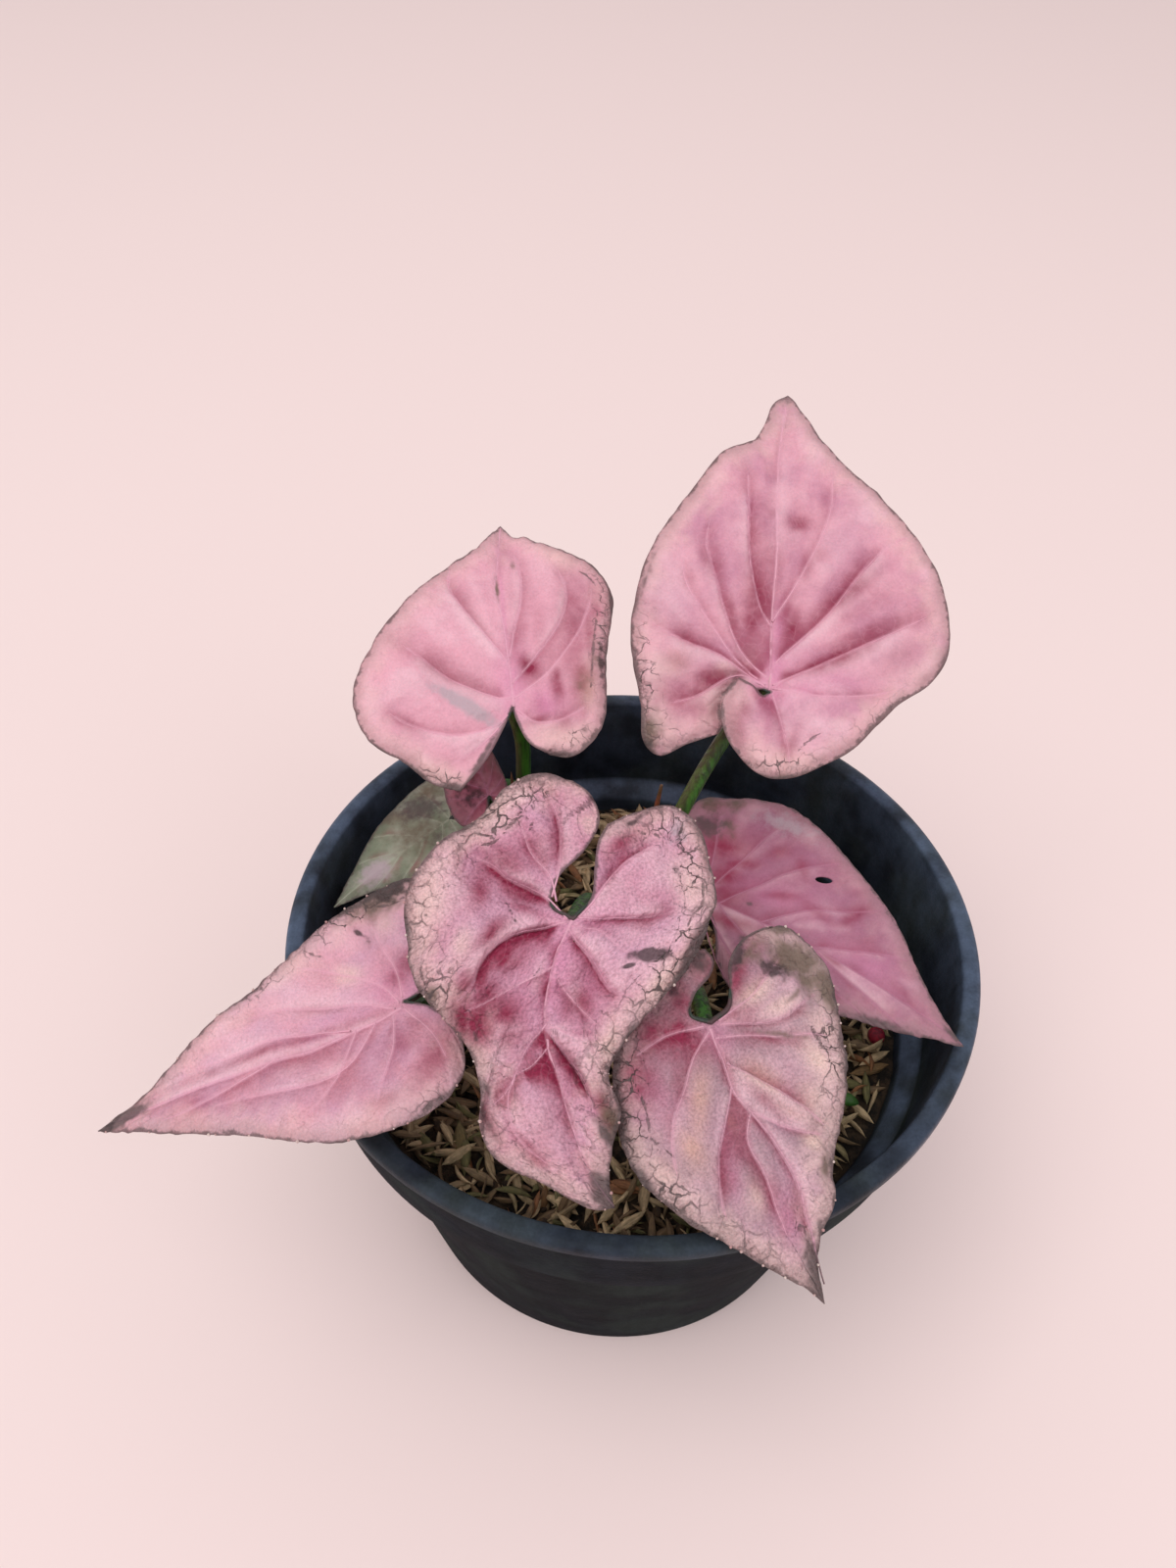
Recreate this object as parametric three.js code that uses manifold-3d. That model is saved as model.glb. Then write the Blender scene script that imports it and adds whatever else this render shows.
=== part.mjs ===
// A pink-leaved syngonium growing in a round black nursery pot.
// Two tufts of stalks stand in plain holes in the potting mix, and each heart-shaped blade
// rests on the end of its own stalk.
// Millimetres, +Z up. The origin is the middle of the pot's flat base; the front faces -Y.

import * as THREE from 'three';
import { mergeVertices } from 'three/addons/utils/BufferGeometryUtils.js';
import Module from 'manifold-3d';

const wasm = await Module();
wasm.setup();

// Driving dimensions of the pot and what it holds
const CLEARANCE = 0.3;
const POT_HEIGHT = 100;
const RIM_RADIUS = 75;
const LIP_WIDTH = 4;
const LIP_ROUND = 1.2;
const BASE_RADIUS = 52.5;
const BODY_TOP_RADIUS = 66;
const COLLAR_HEIGHT = 25.5;
const COLLAR_STEP = 2.8;
const COLLAR_FOOT_RADIUS = 70;
const COLLAR_WALL = 2.6;
const BODY_WALL = 2;
const LEDGE_RISE = 0.6;
const LEDGE_SLOPE = 3.2;
const FLOOR_THICKNESS = 2.5;
const BASE_CORNER = 1;
const DRAIN_HOLES = 8;
const DRAIN_RADIUS = 4.5;
const DRAIN_CIRCLE_RADIUS = 38;
const POT_FACETS = 48;

const MIX_LEVEL = 69.6;
const MIX_RINGS = 5;
const MIX_SHOULDER = 3;
const MIX_SWELLS = { height: 1, lengthX: 57, lengthY: 48 };
const MIX_UNEVENNESS = { height: 0.6, lengthX: 23, lengthY: 30 };
const HUSKS = 120;
const HUSK_LENGTH = 13;
const HUSK_WIDTH = 5;
const HUSK_HEIGHT = 4;
const HUSK_SIZES = [0.8, 1.2];
const HUSK_TILT = 20;
const HUSK_LIFT = 0.4;
const HUSK_DRIFT = 0.5;
const HUSK_EDGE_MARGIN = 1;
const HUSK_SEED = 7;
const HOLE_DRILL_LENGTH = 36;
const HOLE_FACETS = 12;

const GRANULE_RADIUS = 2;
const GRANULE_CENTRE = [58, -5, 71.9];

// Driving dimensions of the plant
const BLADE_THICKNESS = 0.7;
const RAYS_PER_SIDE = 16;
const RING_SHARES = [0.12, 0.24, 0.41, 0.6, 0.8, 1];
const BEND_STEPS = 24;
const FOLD_START = 5;
const TIP_CURL_FROM = 0.7;
const LOBE_REACH = 0.45;
const SINUS_BLEND = 0.3;
const LIFT_BLEND = 0.3;
const LIFT_NEAR = 0.3;
const LIFT_FAR = 4.5;
const RIPPLE_POWER = 3;
const STALK_SEAT = 2.6;
const STALK_FOOT_RADIUS = 2.7;
const STALK_RADIUS = 1.75;
const STALK_TOP_RADIUS = 1.9;
const STALK_FLARE_FROM = 0.9;
const STALK_SINK = 6;
const SHEATH_SHARE = 0.35;
const STALK_SIDES = 7;
const STALK_STEPS = 12;
const STALK_APPROACH = 3.5;
const CROWN_NARROWING = 0.45;
const CROWN_ROUND_FROM = 0.7;
const CROWN_STEPS = 8;
const CROWN_SIDES = 10;

const FINISHES = {
  pot: { color: 0x23272d, roughness: 0.45 },
  mix: { color: 0x7d6c4c, roughness: 0.95 },
  stalk: { color: 0x3d6a26, roughness: 0.5 },
  shoot: { color: 0x86492f, roughness: 0.6 },
  granule: { color: 0x9c2440, roughness: 0.5 },
  pink: { color: 0xd9929f, roughness: 0.6 },
  rose: { color: 0xcf8499, roughness: 0.6 },
  dusty: { color: 0xc996a0, roughness: 0.6 },
  shade: { color: 0xb9768c, roughness: 0.6 },
  sage: { color: 0x8a9675, roughness: 0.6 },
};

// The two tufts: where each crown stands
const CROWNS = {
  front: { at: [2, 8], radius: 5, foot: 57.6, shoulder: 74, top: 79 },
  back: { at: [-25, 22], radius: 4.2, foot: 57.6, shoulder: 73, top: 77 },
};

// Each blade in its own flat frame: x to the right and y to the tip as seen from above, in
// millimetres, from the notch where the stalk joins. right and left run from the end of the
// lobe to the tip, inner_ ones from the notch to the end of the lobe. The rest says how the
// flat blade is bent: angles are in degrees, fold and cup give [left, right].
// bumps are [x, y, radius, height]. route is the stalk's way up from its crown.
const BLADES = {
  blade_back_right: {
    tuft: 'front', finish: 'pink', root: [24, 27, 145], heading: 90, pitch: 46, roll: 2,
    length: 74, width: 66, droop: 30, tipCurl: 14, lobeDroop: -10, fold: [4, 4], cup: [-12, -6],
    ripple: 0.7, waves: 7, sinusBlend: 0.5, overlap: { lift: 3.9, sink: 0.9 },
    tip: [0.5, 71],
    right: [[-7, 2.2], [-10, -2.5], [-9, -9.5], [-4, -15.5], [0.5, -18], [6, -17.5],
      [12, -14.5], [18, -10.5], [22.5, -5], [27, 0], [32.5, 4], [36, 9], [36.5, 16],
      [34, 26], [28, 36], [20, 46], [13, 52], [7.5, 58], [3.5, 65]],
    left: [[-10, -9.5], [-16, -12], [-22, -15], [-25.5, -12], [-26.5, -5], [-29, 4], [-30, 13],
      [-28.5, 24], [-25, 34], [-19, 44], [-13.5, 52.5], [-7, 56.5], [-4.5, 62], [-2.5, 68.5]],
    innerRight: [[-1.5, -0.8], [-3.8, 0.8]],
    innerLeft: [[-1.8, 0.5], [-4.5, -0.8], [-7.5, -5]],
    bumps: [[-5, 14, 5, -1.3], [4, 15, 4.5, -1.3], [3, 37, 4.5, -1], [-15, 9, 6, -1.2],
      [15, 19, 6, -1]],
    route: [[3.5, 10, 84], [6.3, 16.5, 108], [10, 20, 120], [16.2, 26.5, 132]],
  },
  blade_back_left: {
    tuft: 'back', finish: 'pink', root: [-29, 21, 140], heading: 98, pitch: 36, roll: 2,
    length: 54, width: 52, droop: 40, tipCurl: 16, lobeDroop: -10, fold: [8, 4], cup: [-10, -24],
    ripple: 0.8, waves: 6,
    tip: [-2, 50],
    right: [[8, -10], [12, -10.5], [16, -8], [19.5, -3], [20.5, 4], [20.5, 12], [22, 21],
      [23, 29], [19.5, 36], [12, 40], [6.5, 43.5], [3.5, 46.5], [1, 46]],
    left: [[-11, -18], [-17, -16], [-23, -11.5], [-29, -8], [-32.5, -2], [-33, 5],
      [-29.5, 14], [-24, 22], [-18, 30], [-12, 36], [-7, 40], [-4, 45]],
    innerRight: [[1, -3], [3.5, -7.5]],
    innerLeft: [[-2, -4.5], [-5.5, -11]],
    bumps: [[-22, 14, 6, -1.4], [-12, 8, 6, -1.4], [4, 12, 4.5, -1.2], [10, 7, 4.5, -1.2]],
    route: [[-26, 24, 86], [-28, 29, 106], [-28.2, 29.5, 122]],
  },
  blade_middle: {
    tuft: 'front', finish: 'rose', root: [-11, -29, 135], heading: -74, pitch: -26, roll: 0,
    length: 54, width: 60, droop: 14, tipCurl: 0, lobeDroop: 0, fold: [2, 2], cup: [-22, -22],
    bow: 8, ripple: 1.1, waves: 9,
    tip: [-2, 52],
    right: [[-4, -26.5], [1, -28.5], [8, -27.5], [15, -22], [22, -18.5], [28, -13.5], [31, -7],
      [30.5, 1], [26, 8], [19, 15], [14, 21], [12.5, 28], [14, 35], [13, 41], [7, 45.5],
      [2.5, 50.5]],
    left: [[-9.5, -17.5], [-15, -19.5], [-22, -20], [-27.5, -16.5], [-29.5, -8], [-28.5, 1],
      [-27, 10], [-20.5, 17], [-14.5, 23], [-10.5, 29], [-11, 35], [-7.5, 41], [-4, 47]],
    innerRight: [[3.5, -3], [1.5, -8], [-4, -12.5], [-7.8, -18], [-7, -23]],
    innerLeft: [[-4, -3.5], [-5.5, -9], [-7, -14]],
    bumps: [[18, -11, 5, -2], [10, -6, 4.5, -1.6], [13, 11, 6, -2.2], [-6, 12, 5, -1.4],
      [4, 20, 4, -1.8], [-4, 24, 4, -1.8], [14, -16, 5, -1.4], [-13, 2, 6, 1.2],
      [20, 2, 6, 1.6], [3, 35, 6, 1.4]],
    route: [[1, 6, 84], [-4, -3, 104], [-9.5, -14, 122]],
  },
  blade_left: {
    tuft: 'front', finish: 'pink', root: [-42, -37, 115], heading: 199, pitch: -10, roll: 0,
    length: 66, width: 54, droop: 16, tipCurl: 0, lobeDroop: 5, fold: [8, 14], cup: [-16, 0],
    ripple: 0.7, waves: 6,
    tip: [-3, 64.5],
    right: [[10, -12], [17, -13.5], [23, -11], [26.5, -5], [25.5, 2], [21.5, 11], [17.5, 20],
      [13.5, 29], [9.5, 38], [5, 46], [1, 54], [-1, 60]],
    left: [[-12, -9.5], [-18, -8.5], [-23, -4], [-25.5, 3], [-25.5, 11], [-22, 23],
      [-17.5, 33], [-13, 42.5], [-9, 52], [-6, 59]],
    innerRight: [[1, -3], [4, -7]],
    innerLeft: [[-2.5, -4.5], [-7, -7.5]],
    bumps: [[9, 13, 6, -1.2], [-9, 14, 6, -1.2], [0, 26, 6, 0.8]],
    route: [[-5, 0, 88], [-18, -12, 102], [-33, -27, 109]],
  },
  blade_front_right: {
    tuft: 'front', finish: 'dusty', root: [16, -37, 118], heading: -61, pitch: -18, roll: 0,
    length: 54, width: 46, droop: 8, tipCurl: 0, lobeDroop: 10, fold: [4, 4], cup: [-16, -16],
    ripple: 0.7, waves: 7,
    tip: [0.5, 52],
    right: [[-5.5, -14], [0, -14.5], [8, -11.5], [15, -6], [20, 0.5], [22.5, 7], [24, 15],
      [23.5, 21.5], [19, 30], [13, 37], [7.5, 43.5], [3, 48.5]],
    left: [[-19, -14.5], [-24, -14], [-27.5, -8], [-28, 0], [-25.5, 9], [-21.5, 18],
      [-16, 26], [-11, 32], [-8, 38], [-3.5, 42], [-1, 47]],
    innerRight: [[3, -2.5], [0.5, -6], [-4, -8.5], [-5.8, -11]],
    innerLeft: [[-4.5, -1.5], [-6.5, -5], [-8.5, -9.5], [-13, -13]],
    bumps: [[8, 20, 5, -1.2], [-8, 15, 5, -1.2], [14, 8, 5, -1]],
    route: [[4, 4, 88], [9, -12, 104], [14, -27, 112]],
  },
  blade_right: {
    tuft: 'front', finish: 'shade', root: [14.5, 4, 105], heading: -30, pitch: 2, roll: 0,
    length: 64, width: 50, droop: 8, tipCurl: 0, lobeDroop: 5, fold: [12, -22], cup: [0, -20],
    bow: -2, ripple: 0.5, waves: 5,
    tip: [0, 62],
    right: [[12, 10], [16, 15], [17.5, 24], [14, 33], [9.5, 40], [7, 47], [4.5, 54], [2, 59]],
    left: [[-17, -15], [-23, -14.5], [-27, -8], [-30, 1], [-29, 9], [-26, 18], [-21, 28],
      [-15, 38], [-9, 46], [-4, 54]],
    innerRight: [[2.4, 2.6], [7, 7]],
    innerLeft: [[-3, -3], [-9, -10]],
    bumps: [[-11, 6, 5, -1.2], [-13, 28, 5, -1], [-7, 30, 5, -0.8]],
    route: [[5, 8, 84], [10.5, 6.5, 96]],
  },
  blade_old: {
    tuft: 'back', finish: 'sage', root: [-45, 25, 99.4], heading: 225, pitch: -6, roll: 0,
    length: 34, width: 32, droop: 14, tipCurl: 0, lobeDroop: 5, fold: [2, 2], cup: [-10, -10],
    ripple: 0.5, waves: 4, raysPerSide: 10,
    tip: [0, 34],
    right: [[5, -11], [11, -10], [14.5, -6], [15, 0], [13.5, 6], [10.5, 14], [6, 23],
      [2.5, 30]],
    left: [[-4, -7], [-8, -6.5], [-11, -2], [-11.5, 4], [-10, 10], [-7, 17], [-4, 24],
      [-1.8, 30]],
    innerRight: [[1, -3], [3, -7]],
    innerLeft: [[-1, -3], [-2.5, -5.5]],
    bumps: [],
    route: [[-29, 22, 82], [-37, 24.5, 92]],
  },
  blade_young: {
    tuft: 'back', finish: 'shade', root: [-35, 22, 112], heading: 118, pitch: 26, roll: 0,
    length: 26, width: 22, droop: 16, tipCurl: 0, lobeDroop: 5, fold: [6, 6], cup: [-10, -10],
    ripple: 0.3, waves: 4, raysPerSide: 7,
    tip: [0, 25],
    right: [[2.5, -5], [4.5, -2], [5, 3], [4.5, 9], [2.5, 17]],
    left: [[-4, -6.5], [-8, -5], [-9.5, 0], [-9, 6], [-7, 12], [-3.5, 19]],
    innerRight: [[0.8, -2.5]],
    innerLeft: [[-1.2, -3]],
    bumps: [],
    route: [[-28.5, 22.5, 86], [-30, 22.5, 98], [-34, 23.8, 106]],
  },
};

const SHOOT_ROUTE = [[-1, 17.5, 60], [0, 18.5, 76], [1.6, 22, 98], [3.6, 23.6, 118.5]];
const SHOOT_FOOT_RADIUS = 1.7;
const SHOOT_TIP_RADIUS = 0.5;
const SHOOT_STEPS = 9;
const SHOOT_SIDES = 6;
const SHOOT_HOLE = { at: [-0.6, 17.9], radius: 2.7 };

const JOIN_TOLERANCE = 1e-4;

const radians = (degrees) => (degrees * Math.PI) / 180;
const clamp01 = (value) => Math.min(1, Math.max(0, value));

function smoothstep(low, high, value) {
  const share = clamp01((value - low) / (high - low));
  return share * share * (3 - 2 * share);
}

// A repeatable random draw from 0 to 1
function seededRandom(seed) {
  let state = seed;
  return () => {
    state = (state + 0x6d2b79f5) | 0;
    let mixed = Math.imul(state ^ (state >>> 15), 1 | state);
    mixed = (mixed + Math.imul(mixed ^ (mixed >>> 7), 61 | mixed)) ^ mixed;
    return ((mixed ^ (mixed >>> 14)) >>> 0) / 4294967296;
  };
}

// Closed meshes and solids

function signedVolume(positions, index) {
  const corner = (i) => new THREE.Vector3().fromArray(positions, 3 * i);
  let volume = 0;
  for (let i = 0; i < index.length; i += 3) {
    const cross = corner(index[i + 1]).cross(corner(index[i + 2]));
    volume += corner(index[i]).dot(cross) / 6;
  }
  return volume;
}

function meshOf(positions, triangles) {
  const index = [...triangles];
  if (signedVolume(positions, index) < 0) {
    for (let i = 0; i < index.length; i += 3) {
      [index[i + 1], index[i + 2]] = [index[i + 2], index[i + 1]];
    }
  }
  const geometry = new THREE.BufferGeometry();
  geometry.setAttribute('position', new THREE.Float32BufferAttribute(positions, 3));
  geometry.setIndex(index);
  return geometry;
}

// Joins a geometry's doubled vertices and drops the faces that shrink to a line at an axis
function closed(geometry) {
  const bare = geometry.clone();
  bare.deleteAttribute('normal');
  bare.deleteAttribute('uv');
  const merged = mergeVertices(bare, JOIN_TOLERANCE);
  const source = [...merged.index.array];
  const triangles = [];
  for (let i = 0; i < source.length; i += 3) {
    const [a, b, c] = source.slice(i, i + 3);
    if (a !== b && b !== c && c !== a) {
      triangles.push(a, b, c);
    }
  }
  return meshOf([...merged.attributes.position.array], triangles);
}

function solidOf(geometry) {
  return new wasm.Manifold(new wasm.Mesh({
    numProp: 3,
    vertProperties: new Float32Array(geometry.attributes.position.array),
    triVerts: new Uint32Array(geometry.index.array),
  }));
}

function geometryOf(solid) {
  const mesh = solid.getMesh();
  return meshOf([...mesh.vertProperties], mesh.triVerts);
}

// An upright round hole, as the solid that is cut away
function drilled([x, y], radius, bottom, length) {
  const drill = new THREE.CylinderGeometry(radius, radius, length, HOLE_FACETS)
    .rotateX(Math.PI / 2)
    .translate(x, y, bottom + length / 2);
  return solidOf(closed(drill));
}

function largestPiece(solid) {
  const pieces = solid.decompose();
  return pieces.reduce((best, piece) => (piece.volume() > best.volume() ? piece : best));
}

// A closed skin over rings of equal point counts, with a point at each end
function skin(rings, first, last) {
  const positions = [...first];
  rings.forEach((ring) => ring.forEach((point) => positions.push(...point)));
  positions.push(...last);
  const count = rings[0].length;
  const at = (ring, i) => 1 + ring * count + (i % count);
  const end = 1 + rings.length * count;
  const triangles = [];
  for (let i = 0; i < count; i += 1) {
    triangles.push(0, at(0, i + 1), at(0, i));
    triangles.push(end, at(rings.length - 1, i), at(rings.length - 1, i + 1));
  }
  for (let ring = 0; ring < rings.length - 1; ring += 1) {
    for (let i = 0; i < count; i += 1) {
      const [a, b] = [at(ring, i), at(ring, i + 1)];
      const [c, d] = [at(ring + 1, i), at(ring + 1, i + 1)];
      triangles.push(a, b, c, b, d, c);
    }
  }
  return meshOf(positions, triangles);
}

// A tapering round stem along a smooth curve; its last face looks along endDirection
function stem(points, radiusAt, steps, sides, endDirection) {
  const curve = new THREE.CatmullRomCurve3(points, false, 'centripetal');
  const rings = [];
  let across = new THREE.Vector3(1, 0, 0);
  for (let step = 0; step <= steps; step += 1) {
    const share = step / steps;
    const centre = curve.getPointAt(share);
    const along = share === 1 && endDirection ? endDirection : curve.getTangentAt(share);
    across = across.clone().addScaledVector(along, -across.dot(along)).normalize();
    const third = new THREE.Vector3().crossVectors(along, across);
    const ring = [];
    for (let side = 0; side < sides; side += 1) {
      const turn = (2 * Math.PI * side) / sides;
      const point = centre.clone()
        .addScaledVector(across, radiusAt(share) * Math.cos(turn))
        .addScaledVector(third, radiusAt(share) * Math.sin(turn));
      ring.push(point.toArray());
    }
    rings.push(ring);
  }
  return skin(rings, points[0].toArray(), points[points.length - 1].toArray());
}

// Pot

const collarFoot = POT_HEIGHT - COLLAR_HEIGHT;
const lipInner = RIM_RADIUS - LIP_WIDTH;
const collarInner = COLLAR_FOOT_RADIUS - COLLAR_WALL;
const bodyTop = collarFoot - COLLAR_STEP;
const ledgeTop = collarFoot + LEDGE_RISE;
const ledgeFoot = ledgeTop - LEDGE_SLOPE;

function bodyOuterRadius(z) {
  return BASE_RADIUS + ((BODY_TOP_RADIUS - BASE_RADIUS) * z) / bodyTop;
}

function bodyInnerRadius(z) {
  return bodyOuterRadius(z) - BODY_WALL;
}

function potGeometry() {
  const profile = [
    [0, 0],
    [BASE_RADIUS - BASE_CORNER, 0],
    [BASE_RADIUS, BASE_CORNER],
    [BODY_TOP_RADIUS, bodyTop],
    [COLLAR_FOOT_RADIUS, collarFoot],
    [RIM_RADIUS - LIP_ROUND, POT_HEIGHT - LIP_WIDTH],
    [RIM_RADIUS, POT_HEIGHT - LIP_WIDTH + LIP_ROUND],
    [RIM_RADIUS, POT_HEIGHT - LIP_ROUND],
    [RIM_RADIUS - LIP_ROUND, POT_HEIGHT],
    [lipInner + LIP_ROUND, POT_HEIGHT],
    [lipInner, POT_HEIGHT - LIP_ROUND],
    [collarInner, ledgeTop],
    [bodyInnerRadius(ledgeFoot), ledgeFoot],
    [bodyInnerRadius(FLOOR_THICKNESS + BASE_CORNER), FLOOR_THICKNESS + BASE_CORNER],
    [bodyInnerRadius(FLOOR_THICKNESS) - BASE_CORNER, FLOOR_THICKNESS],
    [0, FLOOR_THICKNESS],
  ].map(([radius, z]) => new THREE.Vector2(radius, z));
  let pot = solidOf(closed(new THREE.LatheGeometry(profile, POT_FACETS).rotateX(Math.PI / 2)));
  for (let hole = 0; hole < DRAIN_HOLES; hole += 1) {
    const turn = (2 * Math.PI * (hole + 0.5)) / DRAIN_HOLES;
    const [x, y] = [DRAIN_CIRCLE_RADIUS * Math.cos(turn), DRAIN_CIRCLE_RADIUS * Math.sin(turn)];
    pot = pot.subtract(drilled([x, y], DRAIN_RADIUS, -FLOOR_THICKNESS, 3 * FLOOR_THICKNESS));
  }
  return geometryOf(pot);
}

// Potting mix

const mixRadius = bodyInnerRadius(MIX_LEVEL) - CLEARANCE;

function mixHeight(x, y) {
  const phase = (place, length) => (2 * Math.PI * place) / length;
  const [swells, fine] = [MIX_SWELLS, MIX_UNEVENNESS];
  return MIX_LEVEL
    + swells.height * Math.sin(phase(x, swells.lengthX)) * Math.cos(phase(y, swells.lengthY))
    + fine.height * Math.sin(phase(x, fine.lengthX) + phase(y, fine.lengthY));
}

function mixBody() {
  const ring = (radius, zAt) => Array.from({ length: POT_FACETS }, (_, i) => {
    const turn = (2 * Math.PI * i) / POT_FACETS;
    const [x, y] = [radius * Math.cos(turn), radius * Math.sin(turn)];
    return [x, y, zAt(x, y)];
  });
  const foot = FLOOR_THICKNESS + CLEARANCE;
  const rings = [
    ring(bodyInnerRadius(foot) - BASE_CORNER - CLEARANCE, () => foot),
    ring(bodyInnerRadius(foot + BASE_CORNER) - CLEARANCE, () => foot + BASE_CORNER),
    ring(mixRadius - CLEARANCE, () => MIX_LEVEL - MIX_SHOULDER),
  ];
  for (let i = MIX_RINGS; i > 0; i -= 1) {
    rings.push(ring(((mixRadius - CLEARANCE) * i) / MIX_RINGS, mixHeight));
  }
  return solidOf(skin(rings, [0, 0, foot], [0, 0, mixHeight(0, 0)]));
}

// Rice husks lie all over the mix, spread on a sunflower spiral and turned at random
function huskSolids() {
  const random = seededRandom(HUSK_SEED);
  const goldenAngle = Math.PI * (3 - Math.sqrt(5));
  const [smallest, largest] = HUSK_SIZES;
  const reach = mixRadius - HUSK_LENGTH / 2 - HUSK_EDGE_MARGIN;
  const husks = [];
  for (let i = 0; i < HUSKS; i += 1) {
    const radius = reach * Math.sqrt((i + 0.5) / HUSKS);
    const turn = goldenAngle * i + HUSK_DRIFT * (random() - 0.5);
    const [x, y] = [radius * Math.cos(turn), radius * Math.sin(turn)];
    const size = smallest + (largest - smallest) * random();
    const husk = new THREE.OctahedronGeometry(0.5, 0)
      .scale(HUSK_LENGTH * size, HUSK_WIDTH * size, HUSK_HEIGHT * size)
      .rotateX(radians(HUSK_TILT * (random() - 0.5)))
      .rotateY(radians(HUSK_TILT * (random() - 0.5)))
      .rotateZ(2 * Math.PI * random())
      .translate(x, y, mixHeight(x, y) + HUSK_LIFT);
    husks.push(solidOf(closed(husk)));
  }
  return husks;
}

// The crowns and the shoot stand in plain holes
function mixGeometry() {
  const crowns = Object.values(CROWNS);
  const shootFoot = SHOOT_ROUTE[0][2];
  const holes = [
    ...crowns.map(({ at, radius, foot }) => ({ at, radius: radius + 2 * CLEARANCE, foot })),
    { ...SHOOT_HOLE, foot: shootFoot },
  ];
  const mix = holes.reduce(
    (solid, { at, radius, foot }) => solid.subtract(
      drilled(at, radius, foot - CLEARANCE, HOLE_DRILL_LENGTH),
    ),
    wasm.Manifold.union([mixBody(), ...huskSolids()]),
  );
  return geometryOf(largestPiece(mix));
}

// Blades

// The blade's own directions: across to its right, along to its tip, and up out of its face
function bladeAxes({ heading, pitch, roll }) {
  const [h, p, r] = [heading, pitch, roll].map(radians);
  const along = new THREE.Vector3(Math.cos(h) * Math.cos(p), Math.sin(h) * Math.cos(p), Math.sin(p));
  const level = new THREE.Vector3(Math.sin(h), -Math.cos(h), 0);
  const upright = new THREE.Vector3().crossVectors(level, along);
  const across = level.clone().multiplyScalar(Math.cos(r)).addScaledVector(upright, -Math.sin(r));
  const up = upright.multiplyScalar(Math.cos(r)).addScaledVector(level, Math.sin(r));
  return { across, along, up };
}

// Where a point of the flat blade lies once the blade is bent
function bentPoint(blade, x, y, lift = 0) {
  const { across, along, up } = bladeAxes(blade);
  const slopeAt = (distance) => {
    const share = distance / blade.length;
    if (distance > 0) {
      const curl = Math.max(0, (share - TIP_CURL_FROM) / (1 - TIP_CURL_FROM)) ** 2;
      return radians(-blade.droop * share - blade.tipCurl * curl);
    }
    return radians((-blade.lobeDroop * share) / LOBE_REACH);
  };
  const tipShare = Math.max(0, y / blade.length);
  const bowed = x + (blade.bow ?? 0) * 4 * tipShare * (1 - tipShare);
  const side = bowed > 0 ? 1 : 0;
  const leanAt = (distance) => radians(
    blade.fold[side] * Math.min(1, distance / FOLD_START)
      + (blade.cup[side] * distance) / (blade.width / 2),
  );
  let [forward, climb, outward, rise] = [0, 0, 0, 0];
  for (let step = 0; step < BEND_STEPS; step += 1) {
    const share = (step + 0.5) / BEND_STEPS;
    forward += (Math.cos(slopeAt(y * share)) * y) / BEND_STEPS;
    climb += (Math.sin(slopeAt(y * share)) * y) / BEND_STEPS;
    outward += (Math.cos(leanAt(Math.abs(bowed) * share)) * bowed) / BEND_STEPS;
    rise += (Math.sin(leanAt(Math.abs(bowed) * share)) * Math.abs(bowed)) / BEND_STEPS;
  }
  blade.bumps.forEach(([bumpX, bumpY, radius, height]) => {
    rise += height * Math.exp(-((x - bumpX) ** 2 + (y - bumpY) ** 2) / radius ** 2);
  });
  rise += lift;
  const slope = slopeAt(y);
  return new THREE.Vector3(...blade.root)
    .addScaledVector(across, outward)
    .addScaledVector(along, forward - rise * Math.sin(slope))
    .addScaledVector(up, climb + rise * Math.cos(slope));
}

function smoothLine(points) {
  return new THREE.CatmullRomCurve3(points.map(([x, y]) => new THREE.Vector3(x, y, 0)));
}

// Turns a flat point about the notch, so that the ray at the lobe's end follows its inner edge
function swung(point, inner, straight, pull) {
  const turn = Math.atan2(inner.y, inner.x) - Math.atan2(straight.y, straight.x);
  const shortTurn = Math.atan2(Math.sin(turn), Math.cos(turn));
  const stretch = Math.hypot(inner.x, inner.y) / Math.hypot(straight.x, straight.y);
  const angle = Math.atan2(point.y, point.x) + pull * shortTurn;
  const radius = Math.hypot(point.x, point.y) * (1 + pull * (stretch - 1));
  return new THREE.Vector3(radius * Math.cos(angle), radius * Math.sin(angle), 0);
}

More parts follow.
